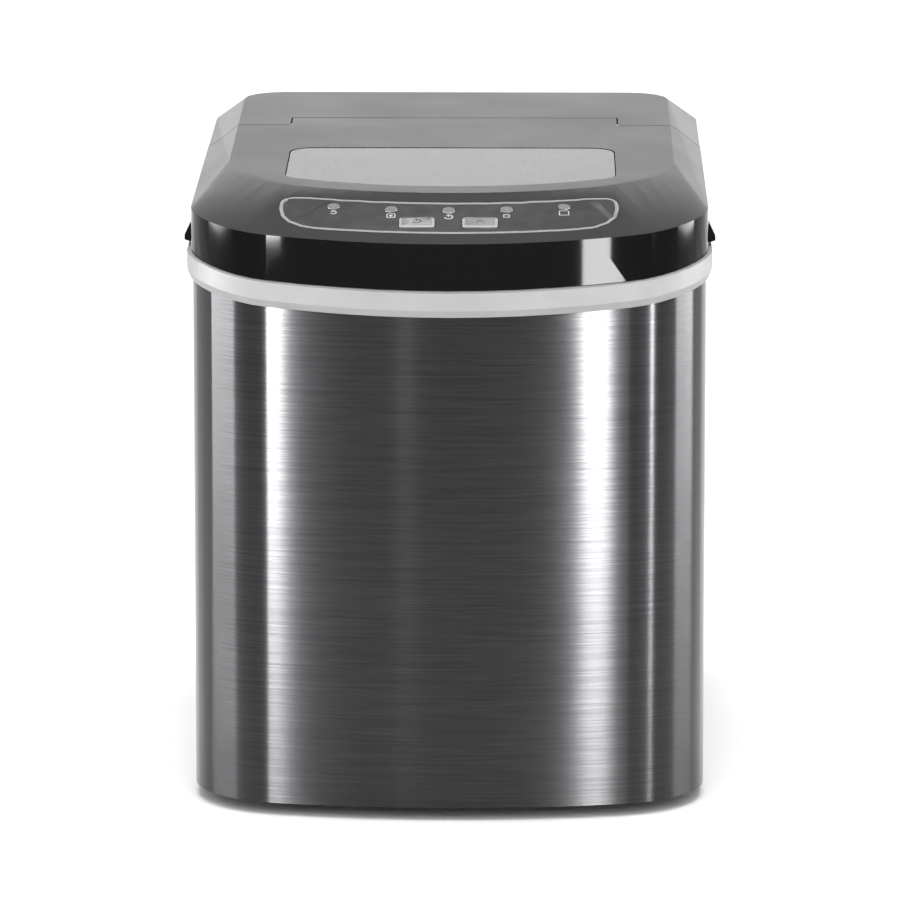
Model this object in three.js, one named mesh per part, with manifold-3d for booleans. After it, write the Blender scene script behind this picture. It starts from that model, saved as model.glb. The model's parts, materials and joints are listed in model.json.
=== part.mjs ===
// Countertop ice maker. Millimetres, +Z up, front towards -Y.
// The origin is on the floor, under the middle of the cabinet.
import * as THREE from "three";
import { mergeVertices } from "three/addons/utils/BufferGeometryUtils.js";
import Module from "manifold-3d";

const wasm = await Module();
wasm.setup();

// ---- Overall sizes ----
const BODY_WIDTH = 247; // steel wrap, side to side
const BODY_DEPTH = 352.4; // steel wrap, front to back
const TOP_HEIGHT = 305; // rear edge of the top above the floor
const FOOT_HEIGHT = 6; // rubber foot below the base pan

// ---- Clearances ----
const GAP = 0.3; // between fitted pieces
const SEAM_GAP = 0.8; // between the lid and the rear cover

// ---- Plan of the cabinet ----
const FRONT_BOW = 355; // radius of the bowed front
const FRONT_CORNER = 50;
const REAR_CORNER = 22;
const BOW_STEPS = 10;
const CORNER_STEPS = 8;
const REAR_STEPS = 4;

// ---- Crown: the shape shared by the lid and the rear cover ----
const LID_OUT = 0.8; // crown wall stands outside the steel by this
const SHELL = 2.5; // wall of the lid and the rear cover
const BEVEL_WIDTH = 15.3; // side bevel, seen from above
const REAR_BEVEL = 14; // rear bevel, seen from above
const RIDGE_DEPTH = 47; // front ridge of the flat top, behind the steel's front
const RIDGE_BOW = 157;
const RIDGE_CORNER = 80;
const RIDGE_REAR_CORNER = 20;
const TOP_SLOPE = 0.027; // the flat top rises by this much per millimetre towards the rear
const PANEL_RISE = 17; // sloped control face, bottom to top
const BAND_HEIGHT = 22.2; // upright gloss band at the front
const NOSE_DIP = 10.3; // how far the lid line dips at the front
const BAND_DIP = 8.3; // how far the top of the band dips at the front
const NOSE_LENGTH = 62; // depth over which the line dips
const SIDE_RISE = 0.014; // the top of the side walls rises by this much per millimetre

// ---- Trim ring ----
const RING_OUT = 2.8; // ring stands outside the steel by this
const RING_HEIGHT = 12.5;
const RING_CHAMFER = 4;
const RING_LEDGE = 3; // thickness of the ledge that carries the lid
const RING_IN = 9.7; // inner edge of the ledge, inside the steel's face

// ---- Cabinet ----
const SHEET = 1; // steel wrap
const PAN_FLOOR = 3;
const PAN_RIM = 2.5;
const REAR_OPENING = 94; // half width of the opening in the back of the wrap
const PANEL_HALF = 101; // half width of the rear panel
const PANEL_THICK = 2.5;

// ---- Tub ----
const TUB_IN = 10; // outside of the tub, inside the steel's face
const TUB_WALL = 2.2;
const MACHINE_ROOM = 138.4; // from the tub's rear wall to the back of the cabinet
const TUB_FLOOR = 62; // underside of its floor above the floor

// ---- Hinge ----
const SEAM_BACK = 115.4; // seam at the sides, ahead of the cabinet's back
const HINGE_BACK = 99.4; // hinge axis, ahead of the cabinet's back
const HINGE_DROP = 4; // hinge axis under the top
const KNUCKLE = 7; // radius of the rounded tongue
const TONGUE_HALF = 82; // half width of the tongue
const PIN = 2; // radius of a hinge pin
const PIN_LENGTH = 14;

// ---- Window and control label ----
const WINDOW_HALF = 80;
const WINDOW_FRONT = 65;
const WINDOW_REAR = 172;
const WINDOW_CORNER = 12;
const WINDOW_THICK = 2.4;
const LABEL_HALF = 81;
const LABEL_FRONT = 9;
const LABEL_FRONT_BOW = 330;
const LABEL_REAR = 37.8;
const LABEL_REAR_BOW = 200;
const LABEL_THICK = 0.5;
const BUTTON_X = 15;
const BUTTON_DEPTH = 18.8;
const BUTTON_WIDTH = 17;
const BUTTON_LENGTH = 9.8;
const LAMP_PITCH = 27.5;
const LAMP_DEPTH = 30.7;
const LAMP_BOW = 215; // the row of lamps follows this bow
const LAMP = 3.2; // radius of a lamp lens

// ---- Ice works ----
const BASKET_ROOM = 13.3; // between the tub's side wall and the basket
const BASKET_FRONT = 20;
const BASKET_HEIGHT = 72;
const BASKET_DROP = 77; // basket rim under the tub rim
const BASKET_TAPER = 5;
const BASKET_WALL = 2.2;
const TRAY_AXIS_BACK = 54; // tray axis, ahead of the tub's rear wall
const TRAY_REACH = 52; // from its axis to the front of the tray
const TRAY_AXIS_DROP = 71;
const TRAY_HALF = 66;
const TRAY_WALL = 2;
const TRUNNION = 3.5;
const FINGER = 4.5; // radius of a freezing finger
const FINGER_LENGTH = 37;
const FINGER_PITCH = 26;
const FRAME_DROP = 48; // underside of the evaporator frame under the tub rim
const FRAME_THICK = 2.3;
const MANIFOLD_HEIGHT = 13.7;

// ---- Machinery ----
const FOAM_REAR = 8.5; // foam behind the tub
const COMPRESSOR = new THREE.Vector2(-45, 68.4); // x, and distance ahead of the cabinet's back
const COMPRESSOR_RADIUS = 47;
const FAN = new THREE.Vector3(62, 49.4, 112); // x, distance ahead of the cabinet's back, height
const FAN_RADIUS = 41;
const FIN_COUNT = 8;
const TUBE_ROWS = 3;
const DRAIN = new THREE.Vector2(-103, 70); // x and height of the drain in the tub
const DRAIN_EXIT = -77; // x of the drain at the rear panel
const DRAIN_HOSE = 4.5;
const HOSE_FIT = 0.7; // room round the hose in the holes it passes

// ---- Levels that follow from the sizes above ----
const FRONT = -BODY_DEPTH / 2;
const REAR = BODY_DEPTH / 2;
const HALF = BODY_WIDTH / 2;
const WIDE = BODY_WIDTH; // half size of a cutting block, past every wall
const RIDGE_REAR = BODY_DEPTH - REAR_BEVEL;
const RIDGE_FRONT_TOP = TOP_HEIGHT - TOP_SLOPE * (RIDGE_REAR - RIDGE_DEPTH);
const BAND_TOP = RIDGE_FRONT_TOP - PANEL_RISE;
const LID_BOTTOM = BAND_TOP - BAND_HEIGHT;
const RING_TOP = LID_BOTTOM - 0.4;
const RIM = RING_TOP + NOSE_DIP; // level top of the ring and of the tub behind the nose
const PAN_TOP = FOOT_HEIGHT + PAN_FLOOR;
const PAN_RIM_TOP = PAN_TOP + PAN_RIM;
const PARTITION_BOTTOM = PAN_RIM_TOP + 0.5;

const TUB_REAR = BODY_DEPTH - MACHINE_ROOM;
const PARTITION_DEPTH = TUB_REAR + FOAM_REAR + GAP;
const SEAM_DEPTH = BODY_DEPTH - SEAM_BACK;
const HINGE_DEPTH = BODY_DEPTH - HINGE_BACK;
const TRAY_AXIS_DEPTH = TUB_REAR - TRAY_AXIS_BACK;
const BASKET_REAR = TRAY_AXIS_DEPTH - TRAY_REACH - 10;
const BASKET_HALF = HALF - TUB_IN - TUB_WALL - BASKET_ROOM;

const back = (depth) => FRONT + depth; // behind the front of the steel
const ahead = (distance) => REAR - distance; // ahead of the back of the steel
const fromTray = (distance) => back(TRAY_AXIS_DEPTH) + distance; // behind the tray's axis
const topPlane = (y) => RIDGE_FRONT_TOP + TOP_SLOPE * (y - back(RIDGE_DEPTH));
const HINGE_Z = topPlane(back(HINGE_DEPTH)) - HINGE_DROP;

// Height of a line that dips at the nose: a parabola that levels out NOSE_LENGTH behind the front.
function dipping(y, frontHeight, dip) {
  const before = Math.max(0, 1 - (y - FRONT) / NOSE_LENGTH);
  return frontHeight + dip * (1 - before * before);
}
const bandTop = (y) =>
  dipping(y, BAND_TOP, BAND_DIP) + SIDE_RISE * Math.max(0, y - back(NOSE_LENGTH));
const ringTop = (y) => dipping(y, RING_TOP, NOSE_DIP);
const lidBottom = (y) => dipping(y, LID_BOTTOM, NOSE_DIP);

// ---- Shapes ----

// A closed mesh as a solid. Triangles that collapse at a pole are dropped, and an inside-out mesh is turned.
function solid(geometry) {
  const bare = new THREE.BufferGeometry();
  bare.setAttribute("position", geometry.getAttribute("position"));
  if (geometry.index) bare.setIndex(geometry.index);
  const merged = mergeVertices(bare, 1e-4);
  const index = merged.index.array;
  const corners = [];
  for (let i = 0; i < index.length; i += 3) {
    const [a, b, c] = [index[i], index[i + 1], index[i + 2]];
    if (a !== b && b !== c && c !== a) corners.push(a, b, c);
  }
  const build = (triVerts) =>
    new wasm.Manifold(
      new wasm.Mesh({
        numProp: 3,
        vertProperties: new Float32Array(merged.attributes.position.array),
        triVerts: new Uint32Array(triVerts),
      }),
    );
  const made = build(corners);
  return made.volume() > 0 ? made : build(corners.reverse());
}

const points2 = (pairs) => pairs.map(([u, v]) => new THREE.Vector2(u, v));

// A plan outline raised from one height to another.
function prism(outline, low, high) {
  const geometry = new THREE.ExtrudeGeometry(new THREE.Shape(outline), {
    depth: high - low,
    bevelEnabled: false,
  });
  return solid(geometry.translate(0, 0, low));
}

// A side outline, given as depth and height, run across from one x to another.
function across(outline, left, right) {
  const geometry = new THREE.ExtrudeGeometry(new THREE.Shape(outline), {
    depth: right - left,
    bevelEnabled: false,
  });
  const axes = new THREE.Matrix4().makeBasis(
    new THREE.Vector3(0, 1, 0),
    new THREE.Vector3(0, 0, 1),
    new THREE.Vector3(1, 0, 0),
  );
  return solid(geometry.applyMatrix4(axes).translate(left, 0, 0));
}

function box(x0, x1, y0, y1, z0, z1) {
  const geometry = new THREE.BoxGeometry(x1 - x0, y1 - y0, z1 - z0);
  return solid(geometry.translate((x0 + x1) / 2, (y0 + y1) / 2, (z0 + z1) / 2));
}

// A round rod along x, y or z, from one coordinate to another on that axis.
function rod(axis, radius, from, to, centre, sides = 16) {
  const geometry = new THREE.CylinderGeometry(radius, radius, to - from, sides);
  const middle = (from + to) / 2;
  if (axis === "x") geometry.rotateZ(-Math.PI / 2).translate(middle, centre[0], centre[1]);
  if (axis === "y") geometry.translate(centre[0], middle, centre[1]);
  if (axis === "z") geometry.rotateX(Math.PI / 2).translate(centre[0], centre[1], middle);
  return solid(geometry);
}

// A turned piece: radius and height pairs from the axis back to the axis.
function turned(profile, sides = 16) {
  return solid(new THREE.LatheGeometry(points2(profile), sides).rotateX(Math.PI / 2));
}

// A round line along a smooth route.
function line(route, radius, steps, sides = 8) {
  const path = new THREE.CatmullRomCurve3(route.map((p) => new THREE.Vector3(...p)), false, "centripetal");
  const section = new THREE.Shape(arc(0, 0, radius, 0, 2 * Math.PI, sides).slice(0, sides));
  return solid(
    new THREE.ExtrudeGeometry(section, { steps, extrudePath: path, bevelEnabled: false }),
  );
}

// Points on an arc, both ends included.
function arc(x, y, radius, from, to, steps) {
  const points = [];
  for (let i = 0; i <= steps; i++) {
    const angle = from + ((to - from) * i) / steps;
    points.push(new THREE.Vector2(x + radius * Math.cos(angle), y + radius * Math.sin(angle)));
  }
  return points;
}

// Outline with a bowed front, rounded corners and a flat rear, grown by off. The arcs keep their centres.
function bowedPlan(plan, off = 0) {
  const bowY = plan.front + plan.bow;
  const cornerX = plan.half - plan.corner;
  const cornerY = bowY - Math.sqrt((plan.bow - plan.corner) ** 2 - cornerX ** 2);
  const tilt = Math.asin(cornerX / (plan.bow - plan.corner));
  const rearX = plan.half - plan.rearCorner;
  const rearY = plan.rear - plan.rearCorner;
  const down = -Math.PI / 2;
  return [
    ...arc(0, bowY, plan.bow + off, down - tilt, down + tilt, BOW_STEPS).slice(0, -1),
    ...arc(cornerX, cornerY, plan.corner + off, down + tilt, 0, CORNER_STEPS),
    ...arc(rearX, rearY, plan.rearCorner + off, 0, Math.PI / 2, REAR_STEPS),
    ...arc(-rearX, rearY, plan.rearCorner + off, Math.PI / 2, Math.PI, REAR_STEPS),
    ...arc(-cornerX, cornerY, plan.corner + off, Math.PI, Math.PI - down - tilt, CORNER_STEPS).slice(0, -1),
  ];
}

const BODY_PLAN = {
  half: HALF,
  front: FRONT,
  bow: FRONT_BOW,
  corner: FRONT_CORNER,
  rear: REAR,
  rearCorner: REAR_CORNER,
};
const RIDGE_PLAN = {
  half: HALF + LID_OUT - BEVEL_WIDTH,
  front: back(RIDGE_DEPTH),
  bow: RIDGE_BOW,
  corner: RIDGE_CORNER,
  rear: back(RIDGE_REAR),
  rearCorner: RIDGE_REAR_CORNER,
};
const WINDOW_PLAN = {
  half: WINDOW_HALF,
  front: back(WINDOW_FRONT),
  bow: RIDGE_BOW - (WINDOW_FRONT - RIDGE_DEPTH),
  corner: WINDOW_CORNER,
  rear: back(WINDOW_REAR),
  rearCorner: WINDOW_CORNER,
};
const BASKET_PLAN = {
  half: BASKET_HALF,
  front: back(BASKET_FRONT),
  bow: FRONT_BOW - BASKET_FRONT,
  corner: 34,
  rear: back(BASKET_REAR),
  rearCorner: 8,
};

const bodyPrism = (off, low, high) => prism(bowedPlan(BODY_PLAN, off), low, high);

// Rings of equal point count, joined by walls and closed by a flat cap at each end.
function loft(rings) {
  const count = rings[0].length;
  const positions = rings.flat().flatMap((p) => [p.x, p.y, p.z]);
  const index = [];
  for (let ring = 0; ring + 1 < rings.length; ring++) {
    for (let i = 0; i < count; i++) {
      const next = (i + 1) % count;
      const [a, b] = [ring * count + i, ring * count + next];
      index.push(a, b, b + count, a, b + count, a + count);
    }
  }
  const last = (rings.length - 1) * count;
  for (const [a, b, c] of THREE.ShapeUtils.triangulateShape(rings[0], [])) index.push(a, c, b);
  for (const [a, b, c] of THREE.ShapeUtils.triangulateShape(rings.at(-1), []))
    index.push(last + a, last + b, last + c);
  const geometry = new THREE.BufferGeometry();
  geometry.setAttribute("position", new THREE.Float32BufferAttribute(positions, 3));
  geometry.setIndex(index);
  return geometry;
}
const lift = (outline, height) => outline.map((p) => new THREE.Vector3(p.x, p.y, height(p.y)));

// Everything below a line that is drawn in side view.
function under(height) {
  const outline = [new THREE.Vector2(-WIDE, -WIDE), new THREE.Vector2(WIDE * 2, -WIDE)];
  const start = FRONT - RING_OUT - 1;
  const steps = 10;
  outline.push(new THREE.Vector2(WIDE * 2, height(WIDE * 2)));
  for (let i = steps; i >= 0; i--) {
    const y = start + ((back(NOSE_LENGTH) - start) * i) / steps;
    outline.push(new THREE.Vector2(y, height(y)));
  }
  outline.push(new THREE.Vector2(-WIDE, height(start)));
  return across(outline, -WIDE, WIDE);
}

// The crown, drawn in by inset and lowered by drop: upright walls, bevels, sloped face and flat top.
function crown(inset, drop) {
  const wall = bowedPlan(BODY_PLAN, LID_OUT - inset);
  const ridge = bowedPlan(RIDGE_PLAN, -inset);
  return loft([
    lift(wall, () => PAN_TOP - drop),
    lift(wall, (y) => bandTop(y) - drop),
    lift(ridge, (y) => topPlane(y) - drop),
  ]);
}
const crownSolid = solid(crown(0, 0));
const crownInside = solid(crown(SHELL, SHELL));

// Place on the crown's surface above a point, with +Z out of the surface.
function onCrown(x, y) {
  const above = new THREE.Vector3(x, y, TOP_HEIGHT + 1);
  const ray = new THREE.Raycaster(above, new THREE.Vector3(0, 0, -1));
  const [hit] = ray.intersectObject(new THREE.Mesh(crown(0, 0)));
  const turn = new THREE.Quaternion().setFromUnitVectors(new THREE.Vector3(0, 0, 1), hit.face.normal);
  return new THREE.Matrix4().compose(hit.point, turn, new THREE.Vector3(1, 1, 1));
}

// The control label's outline: both long edges are bowed, and its front corners are the rounder ones.
function labelPlan(off = 0) {
  const half = LABEL_HALF + off;
  const frontRound = 19;
  const rearRound = 11;
  const frontEdge = (x) =>
    back(LABEL_FRONT) - off + LABEL_FRONT_BOW - Math.sqrt(LABEL_FRONT_BOW ** 2 - x * x);
  const rearEdge = (x) =>
    back(LABEL_REAR) + off + LABEL_REAR_BOW - Math.sqrt(LABEL_REAR_BOW ** 2 - x * x);
  const steps = 8;
  const shape = new THREE.Shape();
  const front = half - frontRound;
  const rear = half - rearRound;
  shape.moveTo(-front, frontEdge(front));
  for (let i = 1; i <= steps; i++) {
    const x = -front + (2 * front * i) / steps;
    shape.lineTo(x, frontEdge(x));
  }
  shape.quadraticCurveTo(half, frontEdge(half), half, frontEdge(half) + frontRound);
  shape.lineTo(half, rearEdge(half) - rearRound);
  shape.quadraticCurveTo(half, rearEdge(half), rear, rearEdge(rear));
  for (let i = 1; i <= steps; i++) {
    const x = rear - (2 * rear * i) / steps;
    shape.lineTo(x, rearEdge(x));
  }
  shape.quadraticCurveTo(-half, rearEdge(half), -half, rearEdge(half) - rearRound);
  shape.lineTo(-half, frontEdge(half) + frontRound);
  shape.quadraticCurveTo(-half, frontEdge(half), -front, frontEdge(front));
  return shape.getPoints(4).slice(0, -1);
}

// ---- Assembly ----
const iceMaker = new THREE.Group();
iceMaker.name = "ice_maker";
const FINISHES = {
  steel: { color: 0x8c8c8c, roughness: 0.3, metalness: 1 },
  sheet: { color: 0xb9bcbe, roughness: 0.5, metalness: 0.9 },
  copper: { color: 0xb87345, roughness: 0.35, metalness: 1 },
  nickel: { color: 0xc9cbcc, roughness: 0.25, metalness: 1 },
  satinBlack: { color: 0x1b1b1c, roughness: 0.38, metalness: 0 },
  label: { color: 0x222324, roughness: 0.45, metalness: 0 },
  trimWhite: { color: 0xd8d8d6, roughness: 0.45, metalness: 0 },
  tubWhite: { color: 0xe8e9e8, roughness: 0.5, metalness: 0 },
  buttonGrey: { color: 0xa9a9a8, roughness: 0.5, metalness: 0 },
  clear: { color: 0xdfe6e8, roughness: 0.08, metalness: 0 },
  rubber: { color: 0x1c1c1c, roughness: 0.85, metalness: 0 },
  foam: { color: 0xf2f2ee, roughness: 0.9, metalness: 0 },
  board: { color: 0x1f5a37, roughness: 0.6, metalness: 0 },
  paintedBlack: { color: 0x17181a, roughness: 0.5, metalness: 0.2 },
};

// Adds one named piece to a group. A piece made about its own origin is placed by a matrix.
function add(group, name, shape, finish, place) {
  const { vertProperties, triVerts, numProp } = shape.getMesh();
  const positions = [];
  for (let i = 0; i < vertProperties.length; i += numProp)
    positions.push(vertProperties[i], vertProperties[i + 1], vertProperties[i + 2]);
  const geometry = new THREE.BufferGeometry();
  geometry.setAttribute("position", new THREE.Float32BufferAttribute(positions, 3));
  geometry.setIndex([...triVerts]);
  const mesh = new THREE.Mesh(geometry, new THREE.MeshStandardMaterial(FINISHES[finish]));
  mesh.name = name;
  if (place) place.decompose(mesh.position, mesh.quaternion, mesh.scale);
  group.add(mesh);
  return mesh;
}
const at = (x, y, z) => new THREE.Matrix4().makeTranslation(x, y, z);
const moved = (shape, place) => shape.transform(place.elements);

function group() {
  const made = new THREE.Group();
  iceMaker.add(made);
  return made;
}

// ---- Base pan, feet and steel wrap ----
const FOOT_SPOTS = {
  foot_front_left: [-90, back(48)],
  foot_front_right: [90, back(48)],
  foot_rear_left: [-90, ahead(37.4)],
  foot_rear_right: [90, ahead(37.4)],
};
const FOOT_STEM = 3.5;

function basePan() {
  let pan = bodyPrism(-SHEET - GAP, FOOT_HEIGHT, PAN_RIM_TOP);
  pan = pan.subtract(bodyPrism(-SHEET - GAP - PAN_RIM, PAN_TOP, PAN_RIM_TOP + 1));
  for (const [x, y] of Object.values(FOOT_SPOTS))
    pan = pan.subtract(rod("z", FOOT_STEM + GAP, 0, PAN_TOP + 1, [x, y], 12));
  return pan;
}

function foot() {
  const top = FOOT_HEIGHT - GAP;
  return turned(
    [
      [0, 0],
      [9, 0],
      [10.5, 1.5],
      [11.5, top],
      [FOOT_STEM, top],
      [FOOT_STEM, PAN_TOP + GAP],
      [FOOT_STEM + 1.5, PAN_TOP + GAP],
      [FOOT_STEM - 1, PAN_TOP + 2.3],
      [0, PAN_TOP + 2.3],
    ],
    16,
  );
}

const SCREW_X = (REAR_OPENING + PANEL_HALF) / 2;
const SCREW_SPOTS = {
  rear_screw_low_left: [-SCREW_X, FOOT_HEIGHT + 20],
  rear_screw_low_right: [SCREW_X, FOOT_HEIGHT + 20],
  rear_screw_high_left: [-SCREW_X, RIM - 23],
  rear_screw_high_right: [SCREW_X, RIM - 23],
};
const SCREW_SHANK = 1.9;

function steelWrap() {
  let wrap = bodyPrism(0, FOOT_HEIGHT, TOP_HEIGHT);
  wrap = wrap.subtract(bodyPrism(-SHEET, 0, TOP_HEIGHT + 1));
  wrap = wrap.intersect(under((y) => ringTop(y) - RING_LEDGE - GAP));
  wrap = wrap.subtract(box(-REAR_OPENING, REAR_OPENING, REAR - 5, REAR + 5, 0, TOP_HEIGHT));
  const slots = 6;
  const slotPitch = 12;
  for (let i = 0; i < slots; i++) {
    const y = ahead(100.4) + slotPitch * i;
    wrap = wrap.subtract(box(-WIDE, WIDE, y, y + 4, 60, 130));
  }
  for (const [x, z] of Object.values(SCREW_SPOTS))
    wrap = wrap.subtract(rod("y", SCREW_SHANK + GAP, REAR - 5, REAR + 5, [x, z], 12));
  return wrap;
}

// ---- Rear panel with its screws, gland and drain ----
const PANEL_Y = REAR - SHEET - GAP; // outer face of the rear panel
const GLAND = new THREE.Vector2(DRAIN_EXIT, 36); // x and height
const GLAND_RADIUS = 7;
const DISH_RADIUS = 13;
const DISH_FLOOR = PANEL_Y - 13; // inner face of the drain dish
const DISH_WALL = 2.2;
const CAP_TRAVEL_FIT = 0.7;
const CAP_RADIUS = 9;

function rearPanel() {
  const half = PANEL_HALF;
  let panel = box(-half, half, PANEL_Y - PANEL_THICK, PANEL_Y, PARTITION_BOTTOM, RIM - 5);
  const slotHeight = 4;
  const slotPitch = 10;
  for (let z = COIL.low + 3; z < COIL.high - slotHeight; z += slotPitch)
    panel = panel.subtract(box(COIL.left, REAR_OPENING - 4, PANEL_Y - 5, PANEL_Y + 1, z, z + slotHeight));
  const spot = [DRAIN_EXIT, DRAIN.y];
  panel = panel.add(rod("y", DISH_RADIUS + DISH_WALL, DISH_FLOOR, PANEL_Y, spot, 20));
  panel = panel.subtract(rod("y", DISH_RADIUS, DISH_FLOOR + DISH_WALL, PANEL_Y + 1, spot, 20));
  panel = panel.intersect(box(-half, half, DISH_FLOOR - 1, PANEL_Y, 0, TOP_HEIGHT));
  panel = panel.subtract(rod("y", DRAIN_HOSE + HOSE_FIT, DISH_FLOOR - 1, PANEL_Y, spot, 12));
  panel = panel.subtract(rod("y", GLAND_RADIUS + GAP, PANEL_Y - 5, PANEL_Y + 1, [GLAND.x, GLAND.y], 16));
  for (const [x, z] of Object.values(SCREW_SPOTS))
    panel = panel.subtract(rod("y", SCREW_SHANK + GAP, PANEL_Y - 5, PANEL_Y + 1, [x, z], 12));
  return panel;
}

// A pan-head screw along +Z, with the underside of its head at its origin.
function screw() {
  return turned(
    [
      [0, -6.5],
      [SCREW_SHANK, -6.5],
      [SCREW_SHANK, 0],
      [3.8, 0],
      [3.4, 1.2],
      [1.8, 1.9],
      [0, 1.9],
    ],
    12,
  );
}

function cordGland() {
  const flange = GLAND_RADIUS + 2.5;
  const nose = RING_OUT + SHEET;
  const body = turned(
    [
      [0, -5],
      [GLAND_RADIUS, -5],
      [GLAND_RADIUS, GAP],
      [flange, GAP],
      [flange, 1.6],
      [GLAND_RADIUS - 1, nose],
      [0, nose],
    ],
    16,
  );
  return body.subtract(rod("z", 3.5, -6, nose + 1, [0, 0], 12));
}

const HOSE_END = DISH_FLOOR + 7.5;

function drainHose() {
  const start = back(TUB_REAR - TUB_WALL + 0.7);
  const end = HOSE_END;
  const hose = (radius, extra, sides) =>
    line(
      [
        [DRAIN.x, start - extra, DRAIN.y],
        [DRAIN.x, start + 24, DRAIN.y],
        [DRAIN.x, start + 72, DRAIN.y],
        [DRAIN.x + 12, end - 34, DRAIN.y],
        [DRAIN_EXIT, end - 16, DRAIN.y],
        [DRAIN_EXIT, end - 8, DRAIN.y],
        [DRAIN_EXIT, end + extra, DRAIN.y],
      ],
      radius,
      14,
      sides,
    );
  return hose(DRAIN_HOSE, 0, 10).subtract(hose(DRAIN_HOSE - 1.4, 1, 6));
}

function drainCap() {
  const spot = [DRAIN_EXIT, DRAIN.y];
  const start = DISH_FLOOR + DISH_WALL + CAP_TRAVEL_FIT;
  const end = PANEL_Y - 0.5;
  let cap = rod("y", CAP_RADIUS, start, end, spot, 20);
  cap = cap.subtract(rod("y", DRAIN_HOSE + HOSE_FIT, start - 1, HOSE_END + 0.6, spot, 12));
  for (const side of [-1, 1]) {
    const inner = DRAIN_EXIT + side * 1.6;
    const outer = DRAIN_EXIT + side * 8;
    const [x0, x1] = [Math.min(inner, outer), Math.max(inner, outer)];
    cap = cap.subtract(box(x0, x1, end - 1.6, end + 1, DRAIN.y - 4.5, DRAIN.y + 4.5));
  }
  return cap;
}

// ---- Trim ring ----
function topRing() {
  const lowEdge = (y) => ringTop(y) - RING_HEIGHT;
  let ring = solid(
    loft([
      lift(bowedPlan(BODY_PLAN, GAP + 0.6), lowEdge),
      lift(bowedPlan(BODY_PLAN, RING_OUT), (y) => lowEdge(y) + RING_CHAMFER),
      lift(bowedPlan(BODY_PLAN, RING_OUT), () => TOP_HEIGHT),
    ]),
  );
  ring = ring.intersect(under(ringTop));
  const wrapRoom = bodyPrism(GAP, 0, TOP_HEIGHT).intersect(under((y) => ringTop(y) - RING_LEDGE));
  ring = ring.subtract(wrapRoom);
  return ring.subtract(bodyPrism(-RING_IN, 0, TOP_HEIGHT + 1));
}

// ---- Tub, foam cradle and partition ----
const FRAME_LEDGE = RIM - FRAME_DROP - GAP;
const BASKET_FLOOR = RIM - BASKET_DROP - BASKET_HEIGHT;
const LINE_HEIGHT = RIM - 55; // refrigerant lines through the rear wall
const SUCTION = 3;
const SUCTION_X = -50;
const CAPILLARY = 1.4;
const CAPILLARY_X = 10;
const LINE_ROOM = 1;

function lineHoles(shape) {
  let cut = shape;
  const holes = [
    [SUCTION_X, LINE_HEIGHT, SUCTION + LINE_ROOM],
    [CAPILLARY_X, LINE_HEIGHT, CAPILLARY + LINE_ROOM],
    [DRAIN.x, DRAIN.y, DRAIN_HOSE + HOSE_FIT],
  ];
  for (const [x, z, radius] of holes)
    cut = cut.subtract(rod("y", radius, back(TUB_REAR - 9), back(TUB_REAR + 16), [x, z], 12));
  return cut;
}

function iceTub() {
  const rearFace = back(TUB_REAR);
  const inner = TUB_IN + TUB_WALL;
  const behind = (y) => box(-WIDE, WIDE, y, WIDE * 2, 0, TOP_HEIGHT * 2);
  let tub = bodyPrism(-TUB_IN, TUB_FLOOR, TOP_HEIGHT).subtract(behind(rearFace));
  const room = bodyPrism(-inner, TUB_FLOOR + TUB_WALL, TOP_HEIGHT + 1);
  tub = tub.subtract(room.subtract(behind(rearFace - TUB_WALL)));
  const deck = box(-WIDE, WIDE, rearFace - TUB_WALL, back(SEAM_DEPTH - 0.5), RIM - 3.2, TOP_HEIGHT);
  tub = tub.add(deck.intersect(bodyPrism(-TUB_IN, 0, TOP_HEIGHT)));
  const wallInside = HALF - inner;
  for (const side of [-1, 1]) {
    const ledge = (reach, y0, y1, top) => {
      const edge = side * (wallInside - reach);
      const wall = side * (wallInside + 1);
      return box(Math.min(edge, wall), Math.max(edge, wall), y0, y1, top - 3, top);
    };
    tub = tub.add(ledge(26, back(60), back(BASKET_REAR), BASKET_FLOOR - GAP));
    tub = tub.add(ledge(6, fromTray(-48), fromTray(46), FRAME_LEDGE));
  }
  return lineHoles(tub.intersect(under(ringTop)));
}

function foamCradle() {
  const room = TUB_IN - GAP - 0.1;
  const behind = (y) => box(-WIDE, WIDE, y, WIDE * 2, 0, TOP_HEIGHT * 2);
  const front = back(PARTITION_DEPTH - GAP);
  let foam = bodyPrism(-SHEET - GAP - 0.5, PARTITION_BOTTOM, RIM - 27).subtract(behind(front));
  const pocket = bodyPrism(-room, TUB_FLOOR - GAP - 0.1, TOP_HEIGHT);
  foam = foam.subtract(pocket.subtract(behind(back(TUB_REAR + GAP + 0.1))));
  return lineHoles(foam);
}

function partition() {
  const y = back(PARTITION_DEPTH);
  const sheet = box(-WIDE, WIDE, y, y + 1.2, PARTITION_BOTTOM, RIM - 3.8);
  return lineHoles(sheet.intersect(bodyPrism(-SHEET - GAP - 0.2, 0, TOP_HEIGHT)));
}

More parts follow.
